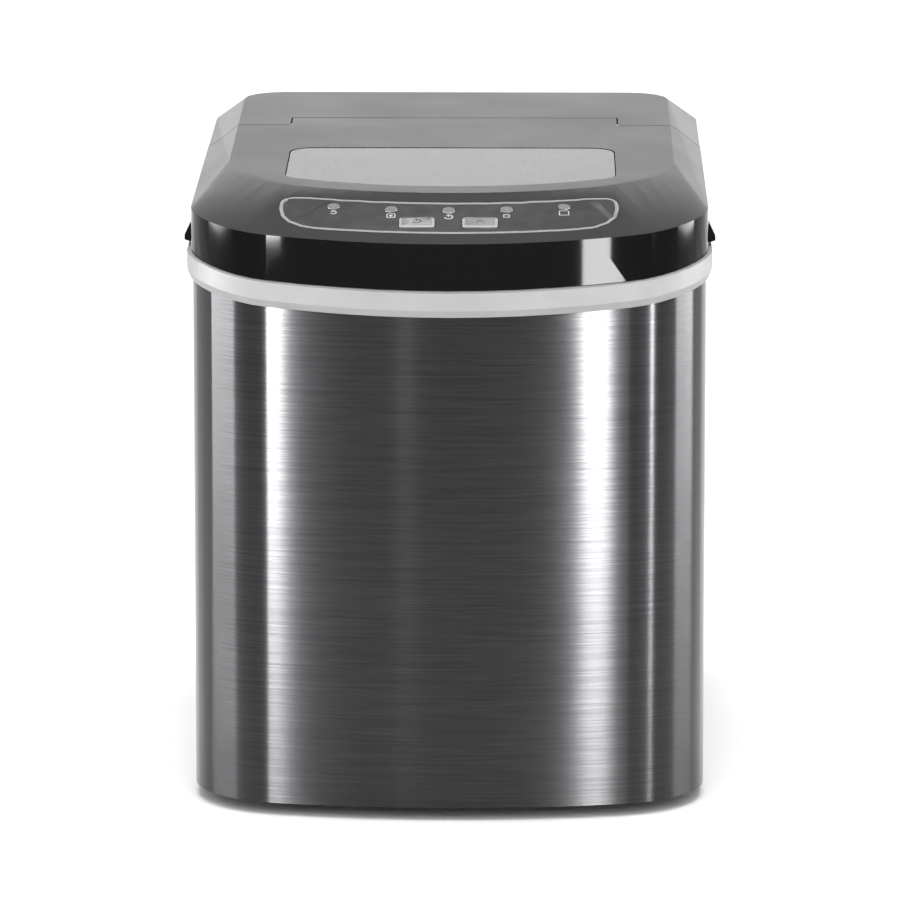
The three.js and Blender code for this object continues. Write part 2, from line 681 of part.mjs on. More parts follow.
// ---- Basket ----
function iceBasket() {
  const top = RIM - BASKET_DROP;
  const shellOf = (inset, low, high) =>
    solid(
      loft([
        lift(bowedPlan(BASKET_PLAN, -BASKET_TAPER - inset), () => low),
        lift(bowedPlan(BASKET_PLAN, -inset), () => high),
      ]),
    );
  let basket = shellOf(0, BASKET_FLOOR, top);
  basket = basket.subtract(shellOf(BASKET_WALL, BASKET_FLOOR + BASKET_WALL, top + 1));
  const slots = 9;
  const slotPitch = 18;
  for (let i = 0; i < slots; i++) {
    const x = (i - (slots - 1) / 2) * slotPitch;
    const [y0, y1] = [back(BASKET_FRONT + 20), back(BASKET_REAR - 16)];
    basket = basket.subtract(box(x - 2.5, x + 2.5, y0, y1, BASKET_FLOOR - 1, BASKET_FLOOR + 5));
  }
  const lip = 3;
  const rimPlan = bowedPlan(BASKET_PLAN, lip);
  const rim = prism(rimPlan, top - 2.5, top).subtract(
    prism(bowedPlan(BASKET_PLAN, -BASKET_WALL), top - 4, top + 1),
  );
  return basket.add(rim);
}

// ---- Evaporator, frame, tray, shovel and tray motor ----
const TRAY_AXIS = [back(TRAY_AXIS_DEPTH), RIM - TRAY_AXIS_DROP];
const MANIFOLD_TOP = RIM - FRAME_DROP - GAP;
const MANIFOLD_BOTTOM = MANIFOLD_TOP - MANIFOLD_HEIGHT;
const FRONT_ROW = fromTray(-34);
const REAR_ROW = fromTray(-16);
const EVAPORATOR_REAR = fromTray(-8);

function finger() {
  const tip = -FINGER_LENGTH;
  return turned(
    [
      [0, tip],
      [FINGER * 0.7, tip + 1.3],
      [FINGER, tip + FINGER],
      [FINGER, 1],
      [0, 1],
    ],
    12,
  );
}

function evaporator() {
  let plate = box(-64, 64, fromTray(-42), EVAPORATOR_REAR, MANIFOLD_BOTTOM, MANIFOLD_TOP);
  const rows = [
    [FRONT_ROW, 5],
    [REAR_ROW, 4],
  ];
  for (const [y, count] of rows) {
    for (let i = 0; i < count; i++) {
      const x = (i - (count - 1) / 2) * FINGER_PITCH;
      plate = plate.add(moved(finger(), at(x, y, MANIFOLD_BOTTOM)));
    }
  }
  return plate;
}

const CHEEK_IN = TRAY_HALF + 4; // inner face of a frame cheek
const CHEEK = 3;

function evaporatorFrame() {
  const half = HALF - TUB_IN - TUB_WALL - GAP;
  const low = RIM - FRAME_DROP;
  let frame = box(-half, half, fromTray(-52), fromTray(48), low, low + FRAME_THICK);
  for (const side of [-1, 1]) {
    const inner = side * CHEEK_IN;
    const outer = side * (CHEEK_IN + CHEEK);
    const [x0, x1] = [Math.min(inner, outer), Math.max(inner, outer)];
    frame = frame.add(box(x0, x1, fromTray(-18), fromTray(16), TRAY_AXIS[1] - 10, low + 1));
    frame = frame.subtract(rod("x", TRUNNION + GAP, x0 - 1, x1 + 1, TRAY_AXIS, 12));
  }
  const vent = 6;
  for (let i = 0; i < vent; i++) {
    const x = (i - (vent - 1) / 2) * 20;
    frame = frame.subtract(box(x - 4, x + 4, fromTray(0), fromTray(35), low - 1, low + FRAME_THICK + 1));
  }
  return frame;
}

const fromAxis = (pairs) => points2(pairs.map(([y, z]) => [TRAY_AXIS[0] + y, TRAY_AXIS[1] + z]));
const SHOVEL_PIN = 2;
const EAR = 7;

function waterTray() {
  const outside = fromAxis([
    [-TRAY_REACH, 2],
    [-TRAY_REACH, -24],
    [10 - TRAY_REACH, -38],
    [-10, -38],
    [-3, -30],
    [-3, 2],
  ]);
  const inside = fromAxis([
    [TRAY_WALL - TRAY_REACH, 12],
    [TRAY_WALL - TRAY_REACH, -23.3],
    [11 - TRAY_REACH, -36],
    [-10.9, -36],
    [-5, -29.2],
    [-5, 12],
  ]);
  const room = TRAY_HALF - TRAY_WALL;
  let tray = across(outside, -TRAY_HALF, TRAY_HALF).subtract(across(inside, -room, room));
  for (const side of [-1, 1]) {
    const ends = (a, b) => [Math.min(side * a, side * b), Math.max(side * a, side * b)];
    tray = tray.add(rod("x", EAR, ...ends(room, TRAY_HALF + 2), TRAY_AXIS, 16));
    tray = tray.add(rod("x", TRUNNION, ...ends(TRAY_HALF + 1, CHEEK_IN + CHEEK + 0.5), TRAY_AXIS, 12));
    tray = tray.subtract(rod("x", SHOVEL_PIN + GAP, ...ends(room - 1, TRAY_HALF + 1.8), TRAY_AXIS, 12));
  }
  const notch = fromAxis([
    [-6, -9.5],
    [-2, -9.5],
    [-2, 3],
    [-6, 3],
  ]);
  tray = tray.subtract(across(notch, 59.6, 63.4)).subtract(across(notch, -63.4, -59.6));
  return tray;
}

function iceShovel() {
  const room = TRAY_HALF - TRAY_WALL;
  const half = room - 1.5;
  const blade = fromAxis([
    [-9.2, 3],
    [-9.2, -30],
    [-7.2, -30],
    [-7.2, 3],
  ]);
  const arm = fromAxis([
    [-9.2, 3],
    [-9.2, -8],
    [-7.2, -8],
    [0, -4],
    [4, 0],
    [0, 4],
  ]);
  let shovel = across(blade, -half, half);
  for (const side of [-1, 1]) {
    const ends = (a, b) => [Math.min(side * a, side * b), Math.max(side * a, side * b)];
    shovel = shovel.add(across(arm, ...ends(half - 2, half)));
    shovel = shovel.add(rod("x", SHOVEL_PIN, ...ends(half - 1, TRAY_HALF + 1.4), TRAY_AXIS, 10));
  }
  for (let i = 0; i < 7; i++) {
    const x = (i - 3) * 16;
    shovel = shovel.subtract(
      across(fromAxis([[-12, -8], [-12, -26], [0, -26], [0, -8]]), x - 2.5, x + 2.5),
    );
  }
  return shovel;
}

function trayMotor() {
  const start = CHEEK_IN + CHEEK + 1.2;
  const can = rod("x", 20, start + 1, start + 20, TRAY_AXIS, 24);
  const boss = rod("x", 7, start, start + 3, TRAY_AXIS, 16);
  const [y, z] = TRAY_AXIS;
  const plate = box(start + 1, start + 2.5, y - 26, y + 26, z - 8, z + 8);
  return can.add(boss).add(plate);
}

// ---- Water works ----
const TUB_BED = TUB_FLOOR + TUB_WALL;
const PUMP = [-86, fromTray(30)];

function waterPump() {
  const low = TUB_BED + GAP;
  const can = rod("z", 15, low, low + 34, PUMP, 20);
  const inlet = rod("z", 17, low, low + 6, PUMP, 20);
  const spout = rod("z", 3.2, low + 33, low + 42, PUMP, 10);
  return can.add(inlet).add(spout);
}

function waterHose() {
  const start = TUB_BED + 42.6;
  const high = RIM - 57;
  return line(
    [
      [PUMP[0], PUMP[1], start],
      [PUMP[0], PUMP[1], start + 30],
      [PUMP[0], PUMP[1] + 4, high - 22],
      [PUMP[0] + 9, fromTray(31), high - 5],
      [-66, fromTray(28), high],
      [-58, fromTray(18), high],
      [-58, fromTray(8), high - 1],
      [-58, fromTray(0), high - 4],
    ],
    3.5,
    16,
  );
}

function iceSensor(side) {
  const wall = HALF - TUB_IN - TUB_WALL - GAP;
  const [x0, x1] = [Math.min(side * (wall - 7), side * wall), Math.max(side * (wall - 7), side * wall)];
  const housing = box(x0, x1, back(70), back(86), RIM - 34, RIM - 20);
  const lens = rod("x", 3, Math.min(side * (wall - 9), side * (wall - 6)),
    Math.max(side * (wall - 9), side * (wall - 6)), [back(78), RIM - 27], 12);
  return housing.add(lens);
}

// ---- Cooling works ----
const LEG_REACH = COMPRESSOR_RADIUS - 7;
const LEG_SPREAD = COMPRESSOR_RADIUS - 17;
const LEG_BACK = COMPRESSOR_RADIUS - 13;
const MOUNT_SPOTS = {
  compressor_mount_front: [COMPRESSOR.x, ahead(COMPRESSOR.y) - LEG_REACH],
  compressor_mount_left: [COMPRESSOR.x - LEG_SPREAD, ahead(COMPRESSOR.y) + LEG_BACK],
  compressor_mount_right: [COMPRESSOR.x + LEG_SPREAD, ahead(COMPRESSOR.y) + LEG_BACK],
};
const MOUNT_TOP = PAN_TOP + 11;
const CAN_TOP = 129; // top of the compressor's dome

function compressor() {
  const low = MOUNT_TOP + GAP;
  const can = turned(
    [
      [0, low + 1],
      [COMPRESSOR_RADIUS - 9, low + 1],
      [COMPRESSOR_RADIUS - 3, low + 8],
      [COMPRESSOR_RADIUS, low + 30],
      [COMPRESSOR_RADIUS, CAN_TOP - 30],
      [COMPRESSOR_RADIUS - 3, CAN_TOP - 14],
      [COMPRESSOR_RADIUS - 15, CAN_TOP - 4],
      [0, CAN_TOP],
    ],
    28,
  );
  const [x, y] = [COMPRESSOR.x, ahead(COMPRESSOR.y)];
  let unit = moved(can, at(x, y, 0));
  const legRear = y + LEG_BACK + 8;
  const wing = LEG_SPREAD + 8;
  unit = unit.add(box(x - wing, x + wing, legRear - 16, legRear, low, low + 3));
  unit = unit.add(box(x - 12, x + 12, y - LEG_REACH - 8, legRear, low, low + 3));
  return unit;
}

function compressorMount() {
  return turned(
    [
      [0, PAN_TOP + GAP],
      [7, PAN_TOP + GAP],
      [5.2, PAN_TOP + 5],
      [7, MOUNT_TOP],
      [0, MOUNT_TOP],
    ],
    14,
  );
}

function terminalCover() {
  const [x, y] = [COMPRESSOR.x, ahead(COMPRESSOR.y)];
  const block = box(x + COMPRESSOR_RADIUS - 17, x + COMPRESSOR_RADIUS + 11, y - 15, y + 15, 60, 96);
  return block.subtract(rod("z", COMPRESSOR_RADIUS + 0.6, 50, 110, [x, y], 28));
}

const COIL = { left: 20, right: 106, front: ahead(34.4), rear: ahead(12.4), low: 40, high: 190 };
const COIL_ROW_Y = (COIL.front + COIL.rear) / 2;

function condenser() {
  const finThick = 1;
  const pitch = (COIL.right - COIL.left - finThick) / (FIN_COUNT - 1);
  let coil = null;
  for (let i = 0; i < FIN_COUNT; i++) {
    const x = COIL.left + pitch * i;
    const fin = box(x, x + finThick, COIL.front, COIL.rear, COIL.low, COIL.high);
    coil = coil ? coil.add(fin) : fin;
  }
  const rowPitch = (COIL.high - COIL.low) / TUBE_ROWS;
  for (let i = 0; i < TUBE_ROWS; i++) {
    const z = COIL.low + rowPitch * (i + 0.5);
    coil = coil.add(rod("x", 3.5, COIL.left - 4, COIL.right + 4, [COIL_ROW_Y, z], 6));
  }
  return coil;
}

function fanShroud() {
  const y = ahead(FAN.y);
  const plateRear = y + 11;
  const frame = box(14, 110, plateRear - 2, plateRear, COIL.low - 4, COIL.high + 4);
  const collar = rod("y", FAN_RADIUS + 5, y - 7, plateRear, [FAN.x, FAN.z], 32);
  let shroud = frame.add(collar);
  shroud = shroud.subtract(rod("y", FAN_RADIUS + 2.5, y - 8, plateRear + 1, [FAN.x, FAN.z], 32));
  const strutFront = y - 14;
  const bar = box(FAN.x - 46, FAN.x + 46, strutFront, strutFront + 4, FAN.z - 4, FAN.z + 4);
  const leg = (x) => box(x - 2.2, x + 2.2, strutFront, y - 4, FAN.z - 4, FAN.z + 4);
  shroud = shroud.add(bar).add(leg(FAN.x - 44.2)).add(leg(FAN.x + 44.2));
  return shroud.subtract(rod("y", 19 + GAP, strutFront - 1, strutFront + 5, [FAN.x, FAN.z], 24));
}

function fanMotor() {
  const y = ahead(FAN.y);
  const can = rod("y", 19, y - 34, y - 8.5, [FAN.x, FAN.z], 24);
  return can.add(rod("y", 22, y - 34, y - 15, [FAN.x, FAN.z], 24));
}

// The fan about its own axis, with the shaft's side towards the motor.
function fanBlade() {
  const blades = 5;
  let fan = rod("y", 12, -6, 6, [0, 0], 20);
  for (let i = 0; i < blades; i++) {
    const blade = box(8, FAN_RADIUS - 1, -1, 1, -10, 10);
    const pitched = moved(blade, new THREE.Matrix4().makeRotationX((28 * Math.PI) / 180));
    const turn = new THREE.Matrix4().makeRotationY((2 * Math.PI * i) / blades);
    fan = fan.add(moved(pitched, turn));
  }
  return fan.intersect(rod("y", FAN_RADIUS, -9, 9, [0, 0], 32));
}

const DRIER = [5, ahead(106.4)];
const DRIER_LOW = 62;
const DRIER_HIGH = 132;

function filterDrier() {
  const made = turned(
    [
      [0, DRIER_LOW],
      [3.5, DRIER_LOW],
      [3.5, DRIER_LOW + 6],
      [9, DRIER_LOW + 14],
      [9, DRIER_HIGH - 14],
      [3, DRIER_HIGH - 6],
      [3, DRIER_HIGH],
      [0, DRIER_HIGH],
    ],
    14,
  );
  return moved(made, at(DRIER[0], DRIER[1], 0));
}

const VALVE = [-18, ahead(90.4)];
const VALVE_LOW = 158;

function hotGasValve() {
  const [x, y] = VALVE;
  const body = box(x - 9, x + 9, y - 8, y + 8, VALVE_LOW, VALVE_LOW + 14);
  const coil = rod("y", 13, y - 10, y + 10, [x, VALVE_LOW + 22], 16);
  const stem = rod("z", 3.5, VALVE_LOW - 3, VALVE_LOW + 2, VALVE, 10);
  return body.add(coil).add(stem);
}

const DISCHARGE = 2.5;

function dischargeLine() {
  const start = [COMPRESSOR.x, ahead(COMPRESSOR.y) - 22];
  return line(
    [
      [...start, CAN_TOP + 0.5],
      [...start, CAN_TOP + 12],
      [start[0] + 10, start[1], CAN_TOP + 18],
      [VALVE[0] - 3, VALVE[1], VALVE_LOW - 12],
      [VALVE[0], VALVE[1], VALVE_LOW - 8],
      [VALVE[0], VALVE[1], VALVE_LOW - 3.7],
    ],
    DISCHARGE,
    14,
  );
}

function hotGasLine() {
  const top = VALVE_LOW + 36;
  return line(
    [
      [VALVE[0], VALVE[1], VALVE_LOW + 35.6],
      [VALVE[0], VALVE[1], top + 8],
      [VALVE[0] + 14, VALVE[1] + 10, top + 16],
      [COIL.left + 4, COIL_ROW_Y - 10, COIL.high + 18],
      [COIL.left + 8, COIL_ROW_Y, COIL.high + 12],
      [COIL.left + 8, COIL_ROW_Y, COIL.high + 4.8],
    ],
    DISCHARGE,
    14,
  );
}

function liquidLine() {
  const low = COIL.low - 14;
  return line(
    [
      [COIL.left - 6, COIL_ROW_Y, COIL.low + 2],
      [COIL.left - 6, COIL_ROW_Y - 4, low],
      [COIL.left - 9, COIL_ROW_Y - 40, low - 3],
      [DRIER[0] + 1, DRIER[1] + 12, low],
      [DRIER[0], DRIER[1], low + 14],
      [DRIER[0], DRIER[1], DRIER_LOW - 0.4],
    ],
    DISCHARGE,
    15,
  );
}

function capillaryTube() {
  return line(
    [
      [DRIER[0], DRIER[1], DRIER_HIGH + 0.4],
      [DRIER[0], DRIER[1], DRIER_HIGH + 30],
      [CAPILLARY_X + 4, ahead(112.4), LINE_HEIGHT - 14],
      [CAPILLARY_X, ahead(120.4), LINE_HEIGHT],
      [CAPILLARY_X, ahead(132.4), LINE_HEIGHT],
      [CAPILLARY_X, ahead(162.4), LINE_HEIGHT],
      [CAPILLARY_X, EVAPORATOR_REAR + 0.4, LINE_HEIGHT],
    ],
    CAPILLARY,
    20,
    6,
  );
}

function suctionLine() {
  return line(
    [
      [SUCTION_X, EVAPORATOR_REAR + 0.4, LINE_HEIGHT],
      [SUCTION_X, ahead(162.4), LINE_HEIGHT],
      [SUCTION_X, ahead(132.4), LINE_HEIGHT],
      [SUCTION_X, ahead(122.4), LINE_HEIGHT],
      [SUCTION_X - 4, ahead(110.4), LINE_HEIGHT - 4],
      [SUCTION_X - 14, ahead(96.4), LINE_HEIGHT - 26],
      [SUCTION_X - 16, ahead(72.4), CAN_TOP + 26],
      [SUCTION_X - 16, ahead(62.4), CAN_TOP + 8],
      [SUCTION_X - 16, ahead(62.4), CAN_TOP - 0.6],
    ],
    SUCTION,
    20,
  );
}

function powerBoard() {
  const y = back(PARTITION_DEPTH) + 6;
  let board = box(30, 108, y, y + 1.6, 150, 232);
  board = board.add(box(36, 62, y + 1, y + 18, 196, 224));
  board = board.add(box(72, 86, y + 1, y + 13, 200, 226));
  board = board.add(box(90, 104, y + 1, y + 12, 160, 190));
  for (const z of [160, 176]) board = board.add(rod("y", 5, y + 1, y + 15, [46, z], 12));
  for (const [x, z] of [
    [34, 154],
    [104, 228],
  ])
    board = board.add(rod("y", 2.5, back(PARTITION_DEPTH) + 1.5, y + 1, [x, z], 8));
  return board;
}

// ---- Rear cover and hinge ----
const POCKET = KNUCKLE + 0.6;
const HINGE = [back(HINGE_DEPTH), HINGE_Z];
const CHEEK_OUT = TONGUE_HALF + 10;

function rearCover() {
  const seam = back(SEAM_DEPTH) + SEAM_GAP;
  const inside = TONGUE_HALF + SEAM_GAP - 0.2;
  const wallRear = seam + SHELL;
  const pocketLow = HINGE_Z - POCKET - 2.2;
  let cover = crownSolid.subtract(crownInside);
  cover = cover.subtract(box(-WIDE, WIDE, FRONT - WIDE, seam, 0, TOP_HEIGHT * 2));
  cover = cover.subtract(box(-inside, inside, seam - 1, HINGE[0], HINGE_Z, TOP_HEIGHT + 1));
  let stays = box(-WIDE, WIDE, seam, wallRear, 0, TOP_HEIGHT);
  stays = stays.add(box(-CHEEK_OUT, CHEEK_OUT, seam, HINGE[0] + 10, pocketLow, TOP_HEIGHT));
  stays = stays.intersect(crownSolid);
  stays = stays.subtract(box(-inside, inside, seam - 1, HINGE[0], HINGE_Z, TOP_HEIGHT));
  stays = stays.subtract(box(-inside, inside, wallRear, HINGE[0], HINGE_Z - POCKET, TOP_HEIGHT));
  cover = cover.add(stays);
  cover = cover.subtract(rod("x", POCKET, -inside, inside, HINGE, 24));
  cover = cover.subtract(under((y) => ringTop(y) + GAP));
  const boreEnd = TONGUE_HALF - 6 + PIN_LENGTH + GAP;
  return cover.subtract(rod("x", PIN + GAP, -boreEnd, boreEnd, HINGE, 12));
}

function hingePin(side) {
  const inner = side * (TONGUE_HALF - 6);
  const outer = side * (TONGUE_HALF - 6 + PIN_LENGTH);
  return rod("x", PIN, Math.min(inner, outer), Math.max(inner, outer), HINGE, 12);
}

// ---- Lid ----
const LINER_LOW = RIM + 0.8;
const LINER_THICK = 2.2;

// A rounded rectangle about the origin, raised from one height to another.
function roundedBlock(width, length, round, low, high) {
  const [a, b] = [width / 2 - round, length / 2 - round];
  const quarter = Math.PI / 2;
  return prism(
    [
      ...arc(a, -b, round, -quarter, 0, 3),
      ...arc(a, b, round, 0, quarter, 3),
      ...arc(-a, b, round, quarter, Math.PI, 3),
      ...arc(-a, -b, round, Math.PI, Math.PI + quarter, 3),
    ],
    low,
    high,
  );
}

const BUTTON_STAND = 0.8; // how far a button stands above the face
const BUTTON_DEEP = 2.8;
const buttonPlace = (side) => onCrown(side * BUTTON_X, back(BUTTON_DEPTH));
const buttonCap = (extra, low, high) =>
  roundedBlock(BUTTON_WIDTH + 2 * extra, BUTTON_LENGTH + 2 * extra, 2 + extra, low, high);

const LAMP_NAMES = ["water_lamp", "ice_full_lamp", "power_lamp", "small_lamp", "large_lamp"];
function lampPlace(i) {
  const x = (i - (LAMP_NAMES.length - 1) / 2) * LAMP_PITCH;
  return onCrown(x, back(LAMP_DEPTH) + (x * x) / (2 * LAMP_BOW));
}

// Openings through the face for the buttons and lamps.
function controlHoles(shape) {
  let cut = shape;
  for (const side of [-1, 1])
    cut = cut.subtract(moved(buttonCap(GAP, -7, 4), buttonPlace(side)));
  for (let i = 0; i < LAMP_NAMES.length; i++)
    cut = cut.subtract(moved(rod("z", LAMP + GAP, -5, 4, [0, 0], 12), lampPlace(i)));
  return cut;
}

// A finger tab: a wedge that stands out of the side wall.
function fingerTab(side) {
  const wall = HALF + LID_OUT;
  const low = RIM + 1.4;
  const profile = points2([
    [wall - 0.6, low],
    [HALF + 4.5, low + 1.4],
    [HALF + 4.5, low + 3.8],
    [wall - 0.6, low + 13],
  ]);
  const geometry = new THREE.ExtrudeGeometry(new THREE.Shape(profile), {
    depth: 36,
    bevelEnabled: false,
  });
  geometry.rotateX(Math.PI / 2);
  const tab = solid(geometry.translate(0, back(106), 0));
  return side > 0 ? tab : tab.mirror([1, 0, 0]);
}

function lidCover() {
  const seam = back(SEAM_DEPTH);
  const behindSeam = box(-WIDE, WIDE, seam, WIDE * 2, 0, TOP_HEIGHT * 2);
  const shell = crownSolid.subtract(crownInside);
  let cover = shell.subtract(behindSeam);
  cover = cover.add(box(-WIDE, WIDE, seam - SHELL, seam, 0, TOP_HEIGHT).intersect(crownSolid));
  const tongue = box(-TONGUE_HALF, TONGUE_HALF, seam - 1, HINGE[0], 0, TOP_HEIGHT);
  cover = cover.add(tongue.intersect(shell));
  cover = cover.add(rod("x", KNUCKLE, -TONGUE_HALF, TONGUE_HALF, HINGE, 24).intersect(crownSolid));
  cover = cover.subtract(under(lidBottom));
  for (const side of [-1, 1]) cover = cover.add(fingerTab(side));
  cover = cover.subtract(prism(bowedPlan(WINDOW_PLAN, GAP), RIM, TOP_HEIGHT + 1));
  const face = prism(labelPlan(GAP), RIM, TOP_HEIGHT);
  cover = cover.subtract(face.subtract(solid(crown(0, LABEL_THICK + GAP))));
  for (const side of [-1, 1]) {
    const inner = side * (TONGUE_HALF - 6 - GAP);
    const outer = side * (TONGUE_HALF + 1);
    cover = cover.subtract(rod("x", PIN + GAP, Math.min(inner, outer), Math.max(inner, outer), HINGE, 12));
  }
  return controlHoles(cover);
}

function lidLiner() {
  const top = LINER_LOW + LINER_THICK;
  const behind = box(-WIDE, WIDE, back(SEAM_DEPTH) - SHELL - GAP, WIDE * 2, 0, TOP_HEIGHT * 2);
  let liner = bodyPrism(LID_OUT - SHELL - GAP, LINER_LOW, top).subtract(behind);
  let collar = prism(bowedPlan(WINDOW_PLAN, -1), LINER_LOW + 1, TOP_HEIGHT);
  collar = collar.intersect(under((y) => topPlane(y) - WINDOW_THICK - 0.2 - GAP));
  liner = liner.add(collar);
  return liner.subtract(prism(bowedPlan(WINDOW_PLAN, -3), 0, TOP_HEIGHT + 1));
}

function lidWindow() {
  const pane = prism(bowedPlan(WINDOW_PLAN), RIM, TOP_HEIGHT);
  const top = under((y) => topPlane(y) - 0.2);
  return pane.intersect(top).subtract(under((y) => topPlane(y) - 0.2 - WINDOW_THICK));
}

function controlLabel() {
  const sheet = prism(labelPlan(), RIM, TOP_HEIGHT).intersect(crownSolid);
  return controlHoles(sheet.subtract(solid(crown(0, LABEL_THICK))));
}

function controlBoard() {
  let board = roundedBlock(148, 30, 1, -10, -8.4);
  for (const x of [-BUTTON_X, BUTTON_X]) board = board.add(box(x - 3, x + 3, -10, -4, -9, -3.8));
  for (let i = 0; i < LAMP_NAMES.length; i++) {
    const x = (i - (LAMP_NAMES.length - 1) / 2) * LAMP_PITCH;
    board = board.add(rod("z", 2, -9, -6.4, [x, 6], 8));
  }
  return board;
}

// ---- Putting it together ----
const cabinet = group();
add(cabinet, "base_pan", basePan(), "paintedBlack");
for (const [name, [x, y]] of Object.entries(FOOT_SPOTS)) add(cabinet, name, foot(), "rubber", at(x, y, 0));
add(cabinet, "steel_wrap", steelWrap(), "steel");
add(cabinet, "rear_panel", rearPanel(), "paintedBlack");
add(cabinet, "top_ring", topRing(), "trimWhite");
add(cabinet, "ice_tub", iceTub(), "tubWhite");
add(cabinet, "foam_cradle", foamCradle(), "foam");
add(cabinet, "partition", partition(), "sheet");
add(cabinet, "rear_cover", rearCover(), "satinBlack");
add(cabinet, "hinge_pin_left", hingePin(-1), "steel");
add(cabinet, "hinge_pin_right", hingePin(1), "steel");
const rearward = new THREE.Matrix4().makeRotationX(-Math.PI / 2);
for (const [name, [x, z]] of Object.entries(SCREW_SPOTS))
  add(cabinet, name, screw(), "nickel", at(x, REAR + GAP, z).multiply(rearward));
add(cabinet, "cord_gland", cordGland(), "rubber", at(GLAND.x, PANEL_Y, GLAND.y).multiply(rearward));
add(cabinet, "drain_hose", drainHose(), "clear");
add(cabinet, "drain_cap", drainCap(), "tubWhite");

const iceWorks = group();
add(iceWorks, "ice_basket", iceBasket(), "tubWhite");
add(iceWorks, "evaporator", evaporator(), "nickel");
add(iceWorks, "evaporator_frame", evaporatorFrame(), "tubWhite");
add(iceWorks, "water_tray", waterTray(), "tubWhite");
add(iceWorks, "ice_shovel", iceShovel(), "tubWhite");
add(iceWorks, "tray_motor", trayMotor(), "sheet");
add(iceWorks, "water_pump", waterPump(), "paintedBlack");
add(iceWorks, "water_hose", waterHose(), "clear");
add(iceWorks, "ice_sensor_left", iceSensor(-1), "tubWhite");
add(iceWorks, "ice_sensor_right", iceSensor(1), "tubWhite");

const coolingWorks = group();
add(coolingWorks, "compressor", compressor(), "paintedBlack");
add(coolingWorks, "terminal_cover", terminalCover(), "paintedBlack");
for (const [name, [x, y]] of Object.entries(MOUNT_SPOTS))
  add(coolingWorks, name, compressorMount(), "rubber", at(x, y, 0));
add(coolingWorks, "condenser", condenser(), "sheet");
add(coolingWorks, "fan_shroud", fanShroud(), "paintedBlack");
add(coolingWorks, "fan_motor", fanMotor(), "sheet");
add(coolingWorks, "fan_blade", fanBlade(), "paintedBlack", at(FAN.x, ahead(FAN.y), FAN.z));
add(coolingWorks, "filter_drier", filterDrier(), "copper");
add(coolingWorks, "hot_gas_valve", hotGasValve(), "sheet");
add(coolingWorks, "discharge_line", dischargeLine(), "copper");
add(coolingWorks, "hot_gas_line", hotGasLine(), "copper");
add(coolingWorks, "liquid_line", liquidLine(), "copper");
add(coolingWorks, "capillary_tube", capillaryTube(), "copper");
add(coolingWorks, "suction_line", suctionLine(), "copper");
add(coolingWorks, "power_board", powerBoard(), "board");

const lid = group();
add(lid, "lid_cover", lidCover(), "satinBlack");
add(lid, "lid_liner", lidLiner(), "tubWhite");
add(lid, "lid_window", lidWindow(), "clear");
add(lid, "control_label", controlLabel(), "label");
add(lid, "control_board", controlBoard(), "board", onCrown(0, back(26)));
add(lid, "on_off_button", buttonCap(0, -BUTTON_DEEP, BUTTON_STAND), "buttonGrey", buttonPlace(-1));
add(lid, "select_button", buttonCap(0, -BUTTON_DEEP, BUTTON_STAND), "buttonGrey", buttonPlace(1));
LAMP_NAMES.forEach((name, i) =>
  add(lid, name, rod("z", LAMP, -2.6, 0.2, [0, 0], 12), "buttonGrey", lampPlace(i)),
);

export default iceMaker;
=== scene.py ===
import json
import math

import bpy
from mathutils import Matrix, Vector

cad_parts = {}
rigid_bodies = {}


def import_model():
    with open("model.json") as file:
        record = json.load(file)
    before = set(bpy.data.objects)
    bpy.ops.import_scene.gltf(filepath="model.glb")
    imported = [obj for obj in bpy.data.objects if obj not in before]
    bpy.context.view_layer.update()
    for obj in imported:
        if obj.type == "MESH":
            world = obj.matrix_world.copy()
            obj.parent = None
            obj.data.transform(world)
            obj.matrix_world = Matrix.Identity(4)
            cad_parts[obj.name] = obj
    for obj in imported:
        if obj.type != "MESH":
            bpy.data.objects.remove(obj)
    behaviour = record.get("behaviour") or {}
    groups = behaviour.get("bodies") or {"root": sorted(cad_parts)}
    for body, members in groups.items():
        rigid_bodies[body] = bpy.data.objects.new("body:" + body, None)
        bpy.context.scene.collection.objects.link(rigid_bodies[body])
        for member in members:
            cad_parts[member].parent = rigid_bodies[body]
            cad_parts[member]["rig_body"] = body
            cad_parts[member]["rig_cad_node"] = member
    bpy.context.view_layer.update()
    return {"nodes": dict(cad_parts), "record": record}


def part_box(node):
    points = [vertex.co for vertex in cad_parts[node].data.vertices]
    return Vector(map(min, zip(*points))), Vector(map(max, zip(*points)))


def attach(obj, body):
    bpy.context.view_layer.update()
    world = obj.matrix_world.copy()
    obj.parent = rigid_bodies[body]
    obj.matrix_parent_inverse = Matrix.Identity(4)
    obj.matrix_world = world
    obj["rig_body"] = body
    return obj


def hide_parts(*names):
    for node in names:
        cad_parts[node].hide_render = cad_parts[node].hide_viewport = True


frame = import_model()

MM = 0.001
steel_low, steel_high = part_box("steel_wrap")
record = frame["record"]
body_of = {node: body for body, nodes in record["behaviour"]["bodies"].items() for node in nodes}
slot_of = {part["node"]: part["material_slot"] for part in record["subparts"]}


# ---- Colours and nodes ----

def srgb(hex_code):
    """A hex colour as linear red, green, blue and alpha."""
    parts = [int(hex_code[i:i + 2], 16) / 255 for i in (1, 3, 5)]
    return [c / 12.92 if c <= 0.04045 else ((c + 0.055) / 1.055) ** 2.4 for c in parts] + [1.0]


def new_material(name, **settings):
    """A material with its shader's plain sockets set by name."""
    material = bpy.data.materials.new(name)
    material.use_nodes = True
    shader = material.node_tree.nodes["Principled BSDF"]
    for socket, value in settings.items():
        shader.inputs[socket.replace("_", " ")].default_value = value
    return material


